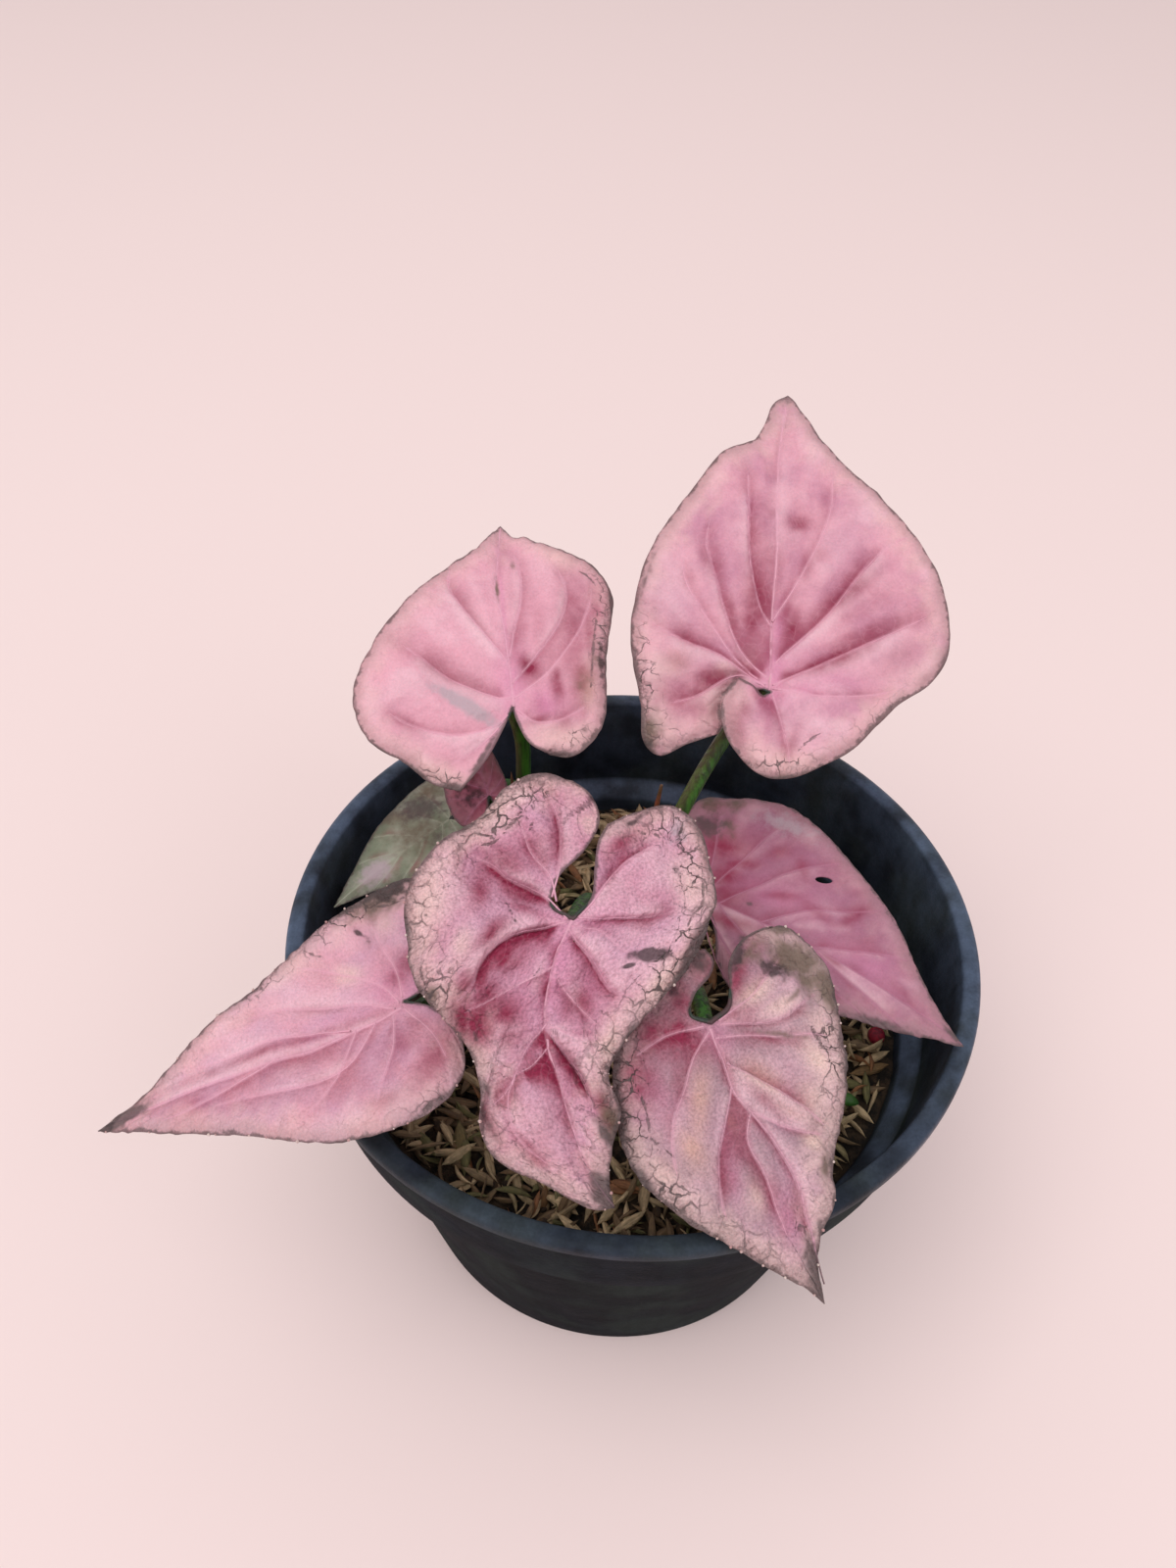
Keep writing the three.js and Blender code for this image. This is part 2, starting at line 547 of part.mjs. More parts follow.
// Flat points and lifts of a blade: rays from the notch to the margin, crossed by rings
function bladeGrid(blade) {
  const count = 2 * (blade.raysPerSide ?? RAYS_PER_SIDE);
  const margins = [blade.right, blade.left].map((side) => smoothLine([...side, blade.tip]));
  const inners = [[blade.innerRight, blade.right], [blade.innerLeft, blade.left]].map(
    ([inner, side]) => smoothLine([[0, 0], ...inner, side[0]]),
  );
  const ends = [blade.right[0], blade.left[0]].map(([x, y]) => new THREE.Vector3(x, y, 0));
  return Array.from({ length: count + 1 }, (_, ray) => {
    const around = ray / count;
    const onRight = around <= 0.5;
    const margin = margins[onRight ? 0 : 1].getPointAt(onRight ? 2 * around : 2 - 2 * around);
    const fades = (reach) => [1 - smoothstep(0, reach, around), smoothstep(1 - reach, 1, around)];
    const pulls = fades(blade.sinusBlend ?? SINUS_BLEND);
    const [rightLift, leftLift] = fades(LIFT_BLEND);
    return RING_SHARES.map((share) => {
      const point = pulls.reduce((place, pull, side) => {
        const straight = ends[side].clone().multiplyScalar(share);
        return swung(place, inners[side].getPointAt(share), straight, pull);
      }, margin.clone().multiplyScalar(share));
      let lift = blade.ripple * share ** RIPPLE_POWER * Math.sin(2 * Math.PI * blade.waves * around);
      if (blade.overlap) {
        const away = smoothstep(LIFT_NEAR, LIFT_FAR, Math.hypot(point.x, point.y));
        lift += away * (blade.overlap.lift * rightLift - blade.overlap.sink * leftLift);
      }
      return { x: point.x, y: point.y, lift };
    });
  });
}

// A blade of even thickness: the bent sheet is copied to both sides along its normals, with
// the same triangles on both faces, and a band of quads closes the edge
function bladeGeometry(blade) {
  const grid = bladeGrid(blade);
  const rings = grid[0].length;
  const sheet = [bentPoint(blade, 0, 0)];
  grid.forEach((ray) => ray.forEach(({ x, y, lift }) => sheet.push(bentPoint(blade, x, y, lift))));
  const at = (ray, ring) => 1 + ray * rings + ring;
  const faces = [];
  for (let ray = 0; ray < grid.length - 1; ray += 1) {
    faces.push([0, at(ray, 0), at(ray + 1, 0)]);
    for (let ring = 0; ring < rings - 1; ring += 1) {
      faces.push([at(ray, ring), at(ray, ring + 1), at(ray + 1, ring + 1)]);
      faces.push([at(ray, ring), at(ray + 1, ring + 1), at(ray + 1, ring)]);
    }
  }
  const normals = sheet.map(() => new THREE.Vector3());
  faces.forEach(([a, b, c]) => {
    const edge = sheet[b].clone().sub(sheet[a]);
    const normal = edge.cross(sheet[c].clone().sub(sheet[a]));
    [a, b, c].forEach((corner) => normals[corner].add(normal));
  });
  normals.forEach((normal) => normal.normalize());
  const positions = [];
  [0.5, -0.5].forEach((half) => sheet.forEach((point, i) => {
    positions.push(...point.clone().addScaledVector(normals[i], half * BLADE_THICKNESS).toArray());
  }));
  const under = sheet.length;
  const triangles = [];
  faces.forEach(([a, b, c]) => triangles.push(a, b, c, a + under, c + under, b + under));
  const last = grid.length - 1;
  const edge = [0];
  for (let ring = 0; ring < rings; ring += 1) {
    edge.push(at(0, ring));
  }
  for (let ray = 1; ray < last; ray += 1) {
    edge.push(at(ray, rings - 1));
  }
  for (let ring = rings - 1; ring >= 0; ring -= 1) {
    edge.push(at(last, ring));
  }
  edge.forEach((a, i) => {
    const b = edge[(i + 1) % edge.length];
    triangles.push(a, a + under, b, b, a + under, b + under);
  });
  return meshOf(positions, triangles);
}

// Stalks

// The stalk's end lies flat under the blade, a little in front of the notch
function stalkEnd(blade) {
  const seat = bentPoint(blade, 0, STALK_SEAT);
  const ahead = bentPoint(blade, 0, STALK_SEAT + 1).sub(seat);
  const right = bentPoint(blade, 1, STALK_SEAT).sub(bentPoint(blade, -1, STALK_SEAT));
  const up = right.cross(ahead).normalize();
  return { seat: seat.addScaledVector(up, -(BLADE_THICKNESS / 2 + CLEARANCE)), up };
}

function stalkRadius(share) {
  const foot = (STALK_FOOT_RADIUS - STALK_RADIUS) * (1 - smoothstep(0, SHEATH_SHARE, share));
  const top = (STALK_TOP_RADIUS - STALK_RADIUS) * smoothstep(STALK_FLARE_FROM, 1, share);
  return STALK_RADIUS + foot + top;
}

function stalkSolid(blade) {
  const crown = CROWNS[blade.tuft];
  const { seat, up } = stalkEnd(blade);
  const points = [
    new THREE.Vector3(...crown.at, crown.shoulder - STALK_SINK),
    ...blade.route.map((point) => new THREE.Vector3(...point)),
    seat.clone().addScaledVector(up, -STALK_APPROACH),
    seat,
  ];
  return solidOf(stem(points, stalkRadius, STALK_STEPS, STALK_SIDES, up));
}

function crownSolid({ at: [x, y], radius, foot, shoulder, top }) {
  const points = [foot, foot + 1, shoulder, top].map((z) => new THREE.Vector3(x, y, z));
  const rounded = (share) => radius * (1 - CROWN_NARROWING * smoothstep(CROWN_ROUND_FROM, 1, share));
  return solidOf(stem(points, rounded, CROWN_STEPS, CROWN_SIDES));
}

function tuftGeometry(tuft) {
  const stalks = Object.values(BLADES).filter((blade) => blade.tuft === tuft).map(stalkSolid);
  return geometryOf(wasm.Manifold.union([crownSolid(CROWNS[tuft]), ...stalks]));
}

function shootGeometry() {
  const points = SHOOT_ROUTE.map((point) => new THREE.Vector3(...point));
  const taper = (share) => SHOOT_FOOT_RADIUS + (SHOOT_TIP_RADIUS - SHOOT_FOOT_RADIUS) * share;
  return stem(points, taper, SHOOT_STEPS, SHOOT_SIDES);
}

// Granule

function granuleGeometry() {
  return closed(new THREE.IcosahedronGeometry(GRANULE_RADIUS, 1)).translate(...GRANULE_CENTRE);
}

// The plant in its pot

const plant = new THREE.Group();

function addPiece(name, geometry, finish) {
  const piece = new THREE.Mesh(geometry, new THREE.MeshStandardMaterial(FINISHES[finish]));
  piece.name = name;
  plant.add(piece);
}

addPiece('pot', potGeometry(), 'pot');
addPiece('potting_mix', mixGeometry(), 'mix');
addPiece('stalks_front', tuftGeometry('front'), 'stalk');
addPiece('stalks_back', tuftGeometry('back'), 'stalk');
Object.entries(BLADES).forEach(([name, blade]) => {
  addPiece(name, bladeGeometry(blade), blade.finish);
});
addPiece('new_shoot', shootGeometry(), 'shoot');
addPiece('feed_granule', granuleGeometry(), 'granule');

export default plant;
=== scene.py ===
import math
import random

import bpy
import numpy as np
from bpy.props import FloatProperty, FloatVectorProperty, IntProperty, PointerProperty
from bpy.types import Operator, Panel, PropertyGroup
from mathutils import Matrix, Vector
from mathutils.bvhtree import BVHTree
from mathutils.geometry import barycentric_transform


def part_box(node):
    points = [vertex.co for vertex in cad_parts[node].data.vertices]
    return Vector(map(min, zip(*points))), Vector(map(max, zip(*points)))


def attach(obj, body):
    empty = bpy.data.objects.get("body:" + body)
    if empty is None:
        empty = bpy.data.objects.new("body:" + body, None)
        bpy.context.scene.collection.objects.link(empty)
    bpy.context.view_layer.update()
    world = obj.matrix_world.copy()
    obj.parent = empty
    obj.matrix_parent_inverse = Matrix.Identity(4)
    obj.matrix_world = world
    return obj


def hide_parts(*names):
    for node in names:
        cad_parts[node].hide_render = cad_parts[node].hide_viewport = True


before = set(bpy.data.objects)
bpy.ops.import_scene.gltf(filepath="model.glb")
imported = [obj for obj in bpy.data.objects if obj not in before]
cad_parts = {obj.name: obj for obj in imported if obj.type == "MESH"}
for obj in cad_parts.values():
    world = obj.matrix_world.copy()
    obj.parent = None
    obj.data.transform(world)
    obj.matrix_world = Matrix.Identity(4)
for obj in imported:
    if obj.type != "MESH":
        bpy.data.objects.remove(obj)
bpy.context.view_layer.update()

bl_info = {
    "name": "Pink Syngonium in a Nursery Pot",
    "version": (1, 0, 0),
    "blender": (4, 5, 0),
    "location": "View3D > Sidebar > Syngonium",
    "description": "Dresses the packed syngonium with veined blades, stalks, husky mix and its pot",
    "category": "Object",
}

# Lengths are in millimetres and the tables' angles in degrees, apart from what Blender holds
MM = 0.001
BODY = "root"
FULL_TURN = 2 * math.pi
SEEDS = {"beads": 11, "mix": 23, "seedlings": 5}

# The camera that took the picture
CAMERA_PLACE = (0, -168, 311.5)
CAMERA_PITCH = 45.4
CAMERA_YAW = -3.8
CAMERA_ROLL = 2.33
CAMERA_LENS = 28.125

# How finely lines and bends are worked out, the distance at which a fold is complete, and the
# shares of the length at which the tip's curl starts and the lobes' droop is complete
LINE_STEPS = 24
BEND_STEPS = 24
FOLD_START = 5
TIP_CURL_FROM = 0.7
LOBE_REACH = 0.45

# Where a lobe that overlaps the other is lifted: a share of the rays, and distances from the notch
LIFT_BLEND = 0.3
LIFT_NEAR = 0.3
LIFT_FAR = 4.5

# The pillows and the grooves between the veins, the (height, size) of the puckers on them, and
# how far the margin is worn as a share
NOISE_LATTICE = 64
PILLOW_RISE = 1.1
PILLOW_REACH = 4.5
GROOVE_DEPTH = 0.5
GROOVE_REACH = 0.9
PUCKERS = ((0.6, 7), (0.32, 3), (0.14, 1.3))
MARGIN_WEAR = 0.004

# A blade's thickness away from its margin, and how far its border bulges as a share of it
FULL_THICKNESS_FROM = 3
BORDER_ROUNDING = 0.3

# Where the side veins of a plain blade leave the midrib and where they meet the margin, as shares
VEIN_STARTS = (0, 0, 0.06, 0.22, 0.42)
VEIN_ENDS = (0.12, 0.32, 0.5, 0.66, 0.8)
VEIN_BOW = (0.62, 0.38)
VEIN_REACH = 0.93
MIDRIB_REACH = 0.985
PLAIN_SHADE = (0.4, 0.5)

# Veins: steps, width of a side vein and of a vein's end as shares, and how they stand out
VEIN_STEPS = 40
SIDE_VEIN = 0.42
VEIN_TAPER = 0.3
VEIN_SIDES = 6
VEIN_RELIEF = 0.09
UNDER_FROM = 0.2

# The shade beside a vein, the ends of lobes that overlap, and what stands for nothing near
SHADE_REACH = 2.8
SHADE_LIMIT = 1.2
SHADE_DEPTH = 0.9
LOBE_LENGTH = 3
FAR_AWAY = 9.0

# How crackled a margin has to be for beads to grow along it
BEADS_FROM = 0.5

# Where a stalk meets its blade, and its ribs
STALK_SEAT = 2.6
STALK_APPROACH = 3.5
SEAT_DROP = 1.35
STALK_STEPS = 72
STALK_SIDES = 18
STALK_RIBS = 9

# The mix in the pot: its own reach, and how far out husks and crumbs are strewn
BED_REACH = 63.0
BED_FLOOR = 2.8
HUSK_REACH = 60.5
HUSK_LIMIT = 62.6
HUSK_RINGS = 7
HUSK_SIDES = 6
CRUMB_REACH = 60
CRUMB_RINGS = 5
CRUMB_SIDES = 7
POT_SEGMENTS = 180
DRAIN_HOLES = 8
DRAIN_CIRCLE = 38
DRAIN_RADIUS = 4.5

# Patches that are laid softly, with their share, and patches with a ragged edge, with the strengths
# between which that edge fades. Most are stains; some paint shade in folds, shadows and highlights
SOFT_STAINS_AND_SHADE = {"heart": 0.75, "pale": 0.85, "cream": 1.0, "peach": 0.9, "magenta": 0.98}
HARD_STAINS_AND_SHADE = {"silver": (0.15, 0.9), "olive": (0.1, 1.0), "grey": (0.2, 0.85), "dead": (0.3, 0.7)}
STAIN_AND_SHADE_LAYERS = (*SOFT_STAINS_AND_SHADE, *HARD_STAINS_AND_SHADE, "craze")

CROWNS = {
    "front": {"at": (2, 8), "radius": 5, "foot": 57.6, "shoulder": 74, "top": 79},
    "back": {"at": (-25, 22), "radius": 4.2, "foot": 57.6, "shoulder": 73, "top": 77},
}
SHOOT_ROUTE = ((-1, 17.5, 60), (0, 18.5, 76), (1.6, 22, 98), (3.6, 23.6, 118.5))
SHEATHS = (
    (((-25, 22, 68), (-27, 26, 84), (-30, 29, 100), (-31, 30, 112)), 1.9),
    (((-23, 21, 68), (-20, 20, 78), (-18, 18, 86)), 1.6),
    (((5, 7, 68), (9, 6, 78), (12, 6, 85)), 1.8),
    (((0, 10, 68), (-4, 14, 80), (-5, 17, 90)), 1.6),
    (((-28, 23, 70), (-36, 25, 80), (-42, 30, 90)), 1.4),
)
SEEDLING_FOOT = 71
SEEDLINGS = ((-41, 36, 21), (-37, 38, 18), (-44, 33, 16), (-34, 41, 13), (-39, 40, 23), (30, 40, 9),
             (47, -24, 5))


def blade_traits(**traits):
    """A blade's traits, with those that most blades share where it has none of its own"""
    shared = dict(roll=0, tip_curl=0, lobe_droop=5, bow=0, rays=132, rings=54, sinus_blend=0.3,
                  hollows=(), cracks=(), depth=0.8, lit="pale", vein_tone="vein")
    return {**shared, **traits}


# Each blade lies in its own flat frame, measured from the notch where the stalk joins: x to the
# right and y to the tip as seen from above. rays is for each side of it. fold and cup give the
# left and the right half. hollows are (x, y, radius, depth). A vein starts with the strength of
# the shade beside it. slit is (x, y, half-width, half-length, turn), and so is each patch of a
# colour, with its strength before the turn, which is left out where there is none. The patches
# are stains, and some magenta and grey ones also paint shade in folds and under the blades above,
# and some pale ones paint highlights on the crests.
BLADES = {
    "blade_back_right": blade_traits(
        tuft="front", slot="blade_pink", root=(24, 27, 145), heading=90, pitch=46, roll=2, length=74,
        width=66, droop=30, tip_curl=14, lobe_droop=-10, fold=(4, 4), cup=(-12, -6), ripple=0.7, waves=7,
        sinus_blend=0.5, overlap=(3.9, 0.9), tip=(0.5, 71),
        right=((-7, 2.2), (-10, -2.5), (-9, -9.5), (-4, -15.5), (0.5, -18), (6, -17.5), (12, -14.5),
            (18, -10.5), (22.5, -5), (27, 0), (32.5, 4), (36, 9), (36.5, 16), (34, 26), (28, 36),
            (20, 46), (13, 52), (7.5, 58), (3.5, 65)),
        left=((-10, -9.5), (-16, -12), (-22, -15), (-25.5, -12), (-26.5, -5), (-29, 4), (-30, 13),
            (-28.5, 24), (-25, 34), (-19, 44), (-13.5, 52.5), (-7, 56.5), (-4.5, 62), (-2.5, 68.5)),
        inner_right=((-1.5, -0.8), (-3.8, 0.8)), inner_left=((-1.8, 0.5), (-4.5, -0.8), (-7.5, -5)),
        route=((3.5, 10, 84), (6.3, 16.5, 108), (10, 20, 120), (16.2, 26.5, 132)),
        midrib=((0, 0.5), (0, 3.5), (-0.5, 17), (-0.5, 31), (-1, 38.5), (-1, 54.5), (0.3, 69)),
        midrib_shade=0.3,
        veins=((-1, (-1, 1), (-7, 4.5), (-11, 7), (-19, 9.5), (-26, 13)), (-0.7, (-0.8, 3), (-6.5, 8),
            (-11, 17), (-13, 23), (-15.5, 30), (-15, 37)), (-0.3, (-1, 1.5), (-6.5, 5.5), (-12.5, 12.5),
            (-19.5, 22.5), (-21, 34.5)), (-0.9, (-2, 1.5), (-7, 3), (-14.5, -2), (-21, -4)),
            (-0.8, (-0.5, 14), (-3.5, 18), (-6, 26.5), (-7, 34), (-7.5, 45.5), (-8, 50)),
            (1.1, (0.5, 1.5), (8.5, 5.5), (17.5, 10.5), (28, 16.5), (32, 19)), (1.1, (0, 5), (1.5, 7),
            (10.5, 16.5), (16.5, 25.5), (22.5, 33), (27, 35.5)), (0.4, (-0.5, 15), (4.5, 24.5), (9.5, 37),
            (10.5, 43.5), (10, 49)), (0.3, (0.5, 0.8), (10.5, 0), (20.5, 1), (26, 2.5)),
            (-0.6, (0.5, -0.5), (3, -7), (4.5, -11), (5, -15))),
        cracks=(((6.5, -12), (8, -10), (11, -7.5)),),
        hollows=((-5, 14, 5, 1.3), (4, 15, 4.5, 1.3), (3, 37, 4.5, 1), (-15, 9, 6, 1.2), (15, 19, 6, 1),
            (-3.5, 12, 2.4, 0.8), (3, 14, 2.2, 0.8), (3, 37, 2.4, 0.7), (-12, 2, 3.5, 0.8),
            (-5, -9, 3.5, 0.6), (6, -9, 3, 0.5)),
        puff=0.85, crackle=0.3, crackle_reach=7, flesh="pink", second="rose", warmth=0.75,
        collar=(0.26, 0.14),
        magenta=((-15.6, 27.4, 1.4, 4.2, 0.5, 20), (5.6, 27.5, 1.5, 3, 0.7), (2.3, 16, 1.3, 3, 0.8),
            (-19.5, 5, 3.2, 2.4, 0.4), (-5.5, -4, 2, 3, 0.5), (-6.5, 3.5, 3.6, 1.8, 0.75, 25),
            (27, 10, 3.5, 6, 0.35, -60), (13.5, 8.2, 1.8, 8.5, 0.8, -62), (2.2, 17, 1.8, 3.6, 0.8),
            (-4.2, 19, 2.8, 8, 0.9, 6), (-4.6, 14.5, 2, 3.6, 0.9, 12), (3.5, 14, 2, 4.2, 1, -8),
            (3.5, 37, 2.8, 2, 0.9), (8, 30, 2.2, 2, 0.4), (-11.5, 2.3, 4.4, 2.2, 1, 12),
            (-18, 10, 5, 2, 0.4, -20), (-14, 9, 3.4, 2, 0.35, -30), (-9.5, 17, 1.3, 4, 0.6, 25),
            (-13, 27, 1.5, 5, 0.45, 15), (15, 22.5, 2.2, 8, 0.65, -48), (20, 14.5, 2, 9, 0.6, -62),
            (-17, -3, 6, 3.4, 0.5, -20), (-6.5, -8, 2.2, 6, 0.5, 10), (5, -11, 1.2, 4.5, 0.45, -15),
            (18, 19, 3, 8, 0.3, -55), (0, 28, 8, 16, 0.15), (-1, -3, 2, 4, 0.6, 40)),
        heart=((0, 4, 5, 7, 0.9), (1, 12, 1.6, 9, 0.7, -3), (9, 2.5, 8, 2.4, 0.7, 10),
            (-2.5, 8, 1.4, 7, 0.4, 10)),
        pale=((-4.2, 7.6, 1.4, 2.4, 0.6), (3.2, 4, 1.2, 2.4, 0.4), (1.4, -7.4, 1.2, 3, 0.5),
            (12, 2, 1.5, 5, 0.4, 80), (-0.5, 40, 2.4, 13, 0.5), (12, 33, 4, 9, 0.3, -30),
            (26, 10, 6, 7, 0.4), (-22, 20, 4, 9, 0.5), (8, -7, 4, 5, 0.4)),
        cream=((-21, 4, 5, 3, 0.5, 20), (-22, -8, 5, 4, 0.4), (3, -14, 6, 3, 0.4)),
        grey=((0, 69, 3, 3, 0.55), (-29, 2, 1.1, 9, 0.8, 8), (-25, -13.5, 3, 2.6, 0.95, -25),
            (24.5, -4.5, 6, 1.2, 0.75, 38), (2, -18.4, 8, 1.1, 0.85), (35, 8, 1.2, 7, 0.65, -15),
            (-28, 20, 0.8, 10, 0.6, -15)),
        olive=((-24, -10.5, 2.6, 4.4, 1), (4, -17.4, 6, 1, 0.5)),
        craze=((-26, 0, 3, 12, 1, 8), (4, -15, 9, 3, 0.9), (-22, -10, 5, 4, 0.7),
            (24, -3, 8, 2.5, 0.7, 38))),
    "blade_back_left": blade_traits(
        tuft="back", slot="blade_pink", root=(-29, 21, 140), heading=98, pitch=36, roll=2, length=54,
        width=52, droop=40, tip_curl=16, lobe_droop=-10, fold=(8, 4), cup=(-10, -24), ripple=0.8, waves=6,
        tip=(-2, 50),
        right=((8, -10), (12, -10.5), (16, -8), (19.5, -3), (20.5, 4), (20.5, 12), (22, 21), (23, 29),
            (19.5, 36), (12, 40), (6.5, 43.5), (3.5, 46.5), (1, 46)),
        left=((-11, -18), (-17, -16), (-23, -11.5), (-29, -8), (-32.5, -2), (-33, 5), (-29.5, 14),
            (-24, 22), (-18, 30), (-12, 36), (-7, 40), (-4, 45)),
        inner_right=((1, -3), (3.5, -7.5)), inner_left=((-2, -4.5), (-5.5, -11)), route=((-26, 24, 86),
        (-28, 29, 106), (-28.2, 29.5, 122)),
        midrib=((0.3, 0.3), (-0.5, 8), (-1, 13), (-2, 20.5), (-3.5, 28), (-3, 33.5), (-2, 48)),
        midrib_shade=-0.3,
        veins=((-1, (-1, 10.5), (-5.5, 16), (-10.5, 22.5), (-13.5, 28), (-13, 34)), (-1.3, (0, 2),
            (-3, 2), (-7, 3.5), (-12.5, 6), (-18, 10), (-23.5, 14.5)), (-0.7, (-1, -1.5), (-3.5, -4),
            (-12.5, -6), (-21, -4), (-26, -1)), (0.4, (-2, -3), (-3.5, -5), (-8.5, -9.5), (-13.5, -12.5)),
            (-0.7, (-0.5, 11.5), (0.5, 18), (2, 24.5), (2, 33), (0.5, 40)), (-0.8, (0, 5.5), (4.5, 11.5),
            (10, 19.5), (12, 27.5), (10, 35)), (0.3, (0.5, 2), (7, 7.5), (14, 17), (17, 25), (18, 30)),
            (0.6, (1, -0.5), (4.5, -3), (10, -2.5), (16, 1))),
        cracks=(((19, 24), (17.8, 16), (17, 9), (16.8, 5)), ((15, 33.5), (17.5, 32), (19.5, 29.5))),
        hollows=((-22, 14, 6, 1.4), (-12, 8, 6, 1.4), (4, 12, 4.5, 1.2), (10, 7, 4.5, 1.2),
            (3, 10, 2.4, 0.6), (9, 7, 2.2, 0.5), (-15, 9, 3, 0.6), (-7, 4, 2.4, 0.6)),
        puff=0.5, depth=0.5, crackle=0.35, crackle_reach=6, flesh="bright_pink", second="pink",
        warmth=0.6, collar=(0.3, 0.14),
        magenta=((0.6, 25, 1.6, 5, 0.15), (5.7, 19, 1.8, 6, 0.25), (18.5, 24, 1.8, 6, 0.5),
            (9.4, 6.1, 1.6, 2.4, 0.65), (5.5, 1, 2, 2.5, 0.25), (10.5, -2.4, 2.4, 2.4, 0.45),
            (13, 13, 4, 9, 0.5), (9.7, 4.2, 1.7, 3.2, 0.8), (17, 17, 1.8, 8, 0.6),
            (3.5, 9.5, 1.9, 3, 1.2, 30), (9.5, 7.5, 1.3, 2.4, 0.75), (-16, 8.5, 1.8, 9, 0.45, 56),
            (-17, 10.5, 2.4, 4.5, 0.25, 53), (-8, 4, 1.8, 4, 0.2, 52), (-10, 23.5, 1.4, 7, 0.2, 27),
            (-22.5, -3, 1.3, 4, 0.6, 57), (2, 17.5, 2, 3.5, 0.3, -27), (13.5, 22, 3.4, 11, 0.45),
            (14.5, 7, 3.2, 6, 0.65), (5.5, -2.5, 1, 3.2, 0.55, -72), (18, 28, 2, 5, 0.3)),
        heart=((0, 6, 4, 10, 0.8), (7, 1, 4, 4, 1), (-1.5, 20, 0.6, 16, 0.7, 4)),
        pale=((-16.3, 9.1, 1.4, 4, 0.3, 56), (-8.5, 5.2, 1.4, 3.4, 0.3, 56),
            (0.5, 25.5, 1.6, 9.5, 0.2, -3), (11, 23.5, 1, 7.5, 0.6, -3), (-7, 18.5, 3, 6, 0.5, 36),
            (7, 33, 3, 6, 0.4, 20)),
        cream=((10.5, -6, 3, 8, 0.5, 84), (-16.5, -14.5, 3, 6, 0.5, 70), (10.5, 37, 2.6, 5, 0.4, 53),
            (16, 4, 1.6, 3.4, 0.7)),
        peach=((15.5, 6, 1.8, 3.6, 0.8, 5),),
        # painted sheen: this silver patch paints a whitish highlight on the blade
        silver=((-9.8, 0.5, 1.7, 8.6, 1.2, 58),),
        grey=((22.5, 27, 1.2, 5.6, 0.9), (20.5, 11, 1, 7, 0.8), (19.5, 36, 1.1, 3.6, 0.85, 62),
            (15, -4.5, 1.2, 1, 0.6), (10, -10, 1.1, 4.6, 0.9, 88), (-12.5, -17, 1.4, 2.8, 0.95, 83),
            (-19.5, -14, 1, 4.6, 0.85, 49), (-27.5, -9, 0.7, 4.6, 0.8, 56), (-32.5, 1, 0.6, 5.4, 0.5, 7),
            (-6, -10, 0.7, 7.5, 0.9, -31)),
        dead=((19.2, 11, 1.2, 6.5, 0.6),),
        olive=((18, 11, 2.4, 5.4, 0.5), (14.9, 6, 2, 3, 0.5), (-3, 28, 0.5, 3.2, 0.95, 4),
            (0.5, 35, 0.8, 1.6, 0.6)),
        craze=((19.5, 21, 3, 13, 0.9), (11.5, -6.5, 2.6, 6.5, 0.8, -82), (-15, -14.5, 2.5, 6, 0.9, 73))),
    "blade_middle": blade_traits(
        tuft="front", slot="blade_rose", root=(-11, -29, 135), heading=-74, pitch=-26, length=54,
        width=60, droop=14, lobe_droop=0, fold=(2, 2), cup=(-22, -22), bow=8, ripple=1.1, waves=9,
        tip=(-2, 52),
        right=((-4, -26.5), (1, -28.5), (8, -27.5), (15, -22), (22, -18.5), (28, -13.5), (31, -7),
            (30.5, 1), (26, 8), (19, 15), (14, 21), (12.5, 28), (14, 35), (13, 41), (7, 45.5),
            (2.5, 50.5)),
        left=((-9.5, -17.5), (-15, -19.5), (-22, -20), (-27.5, -16.5), (-29.5, -8), (-28.5, 1), (-27, 10),
            (-20.5, 17), (-14.5, 23), (-10.5, 29), (-11, 35), (-7.5, 41), (-4, 47)),
        inner_right=((3.5, -3), (1.5, -8), (-4, -12.5), (-7.8, -18), (-7, -23)),
        inner_left=((-4, -3.5), (-5.5, -9), (-7, -14)), route=((1, 6, 84), (-4, -3, 104),
        (-9.5, -14, 122)),
        midrib=((0, 0.3), (0.5, 5), (0.5, 11.5), (0.5, 16), (0, 18.5), (-0.5, 23), (-1.5, 27.5),
            (-2, 34.5), (-1.5, 43.5), (-2, 51)),
        midrib_shade=-0.4,
        veins=((1, (1, 0), (2, -1.5), (6, -7), (10.5, -10), (13, -13), (18, -16)), (1.3, (1, 0.5),
            (9, 0.5), (12, 1.5), (15, 5), (15.5, 9.5), (18, 12)), (0.8, (3.2, -4.5), (0.8, -10.5),
            (-0.5, -18.5), (1.5, -26)), (0.3, (2.5, -3.5), (3, -9), (5.5, -13.5), (7, -20)),
            (0.3, (0.6, 8), (5.5, 10), (9.5, 11.5), (16, 14)), (0.5, (0, 18), (3.5, 21.5), (6, 26),
            (8, 29), (11, 31)), (0.6, (-0.4, 22), (3, 25), (6, 26)), (-0.4, (6, 26), (8, 31.5),
            (7.5, 37.5), (4.5, 42)), (0.7, (-1, 0), (-4, -2.5), (-9, -7.5), (-16, -11.5), (-22.5, -13)),
            (-0.8, (-1, 0), (-9, 0.5), (-15, 1), (-21, 0.5)), (0.2, (-0.5, 1), (-6.5, 3), (-11, 6.5),
            (-14, 8)), (-1.3, (0, 18.5), (-2.5, 22), (-5, 26), (-6.5, 30), (-6, 35)), (0.3, (-0.3, 18.5),
            (-5, 21), (-9.5, 22)), (-0.4, (0.4, 9), (-4.5, 14.5), (-9.5, 20)), (-0.9, (0.3, 1.5), (-7, 8),
            (-12, 14), (-17, 16))),
        cracks=(((6.5, -21.5), (9, -19), (13, -16.5), (19, -19)), ((9, -19), (8, -23)), ((-27, -8.5),
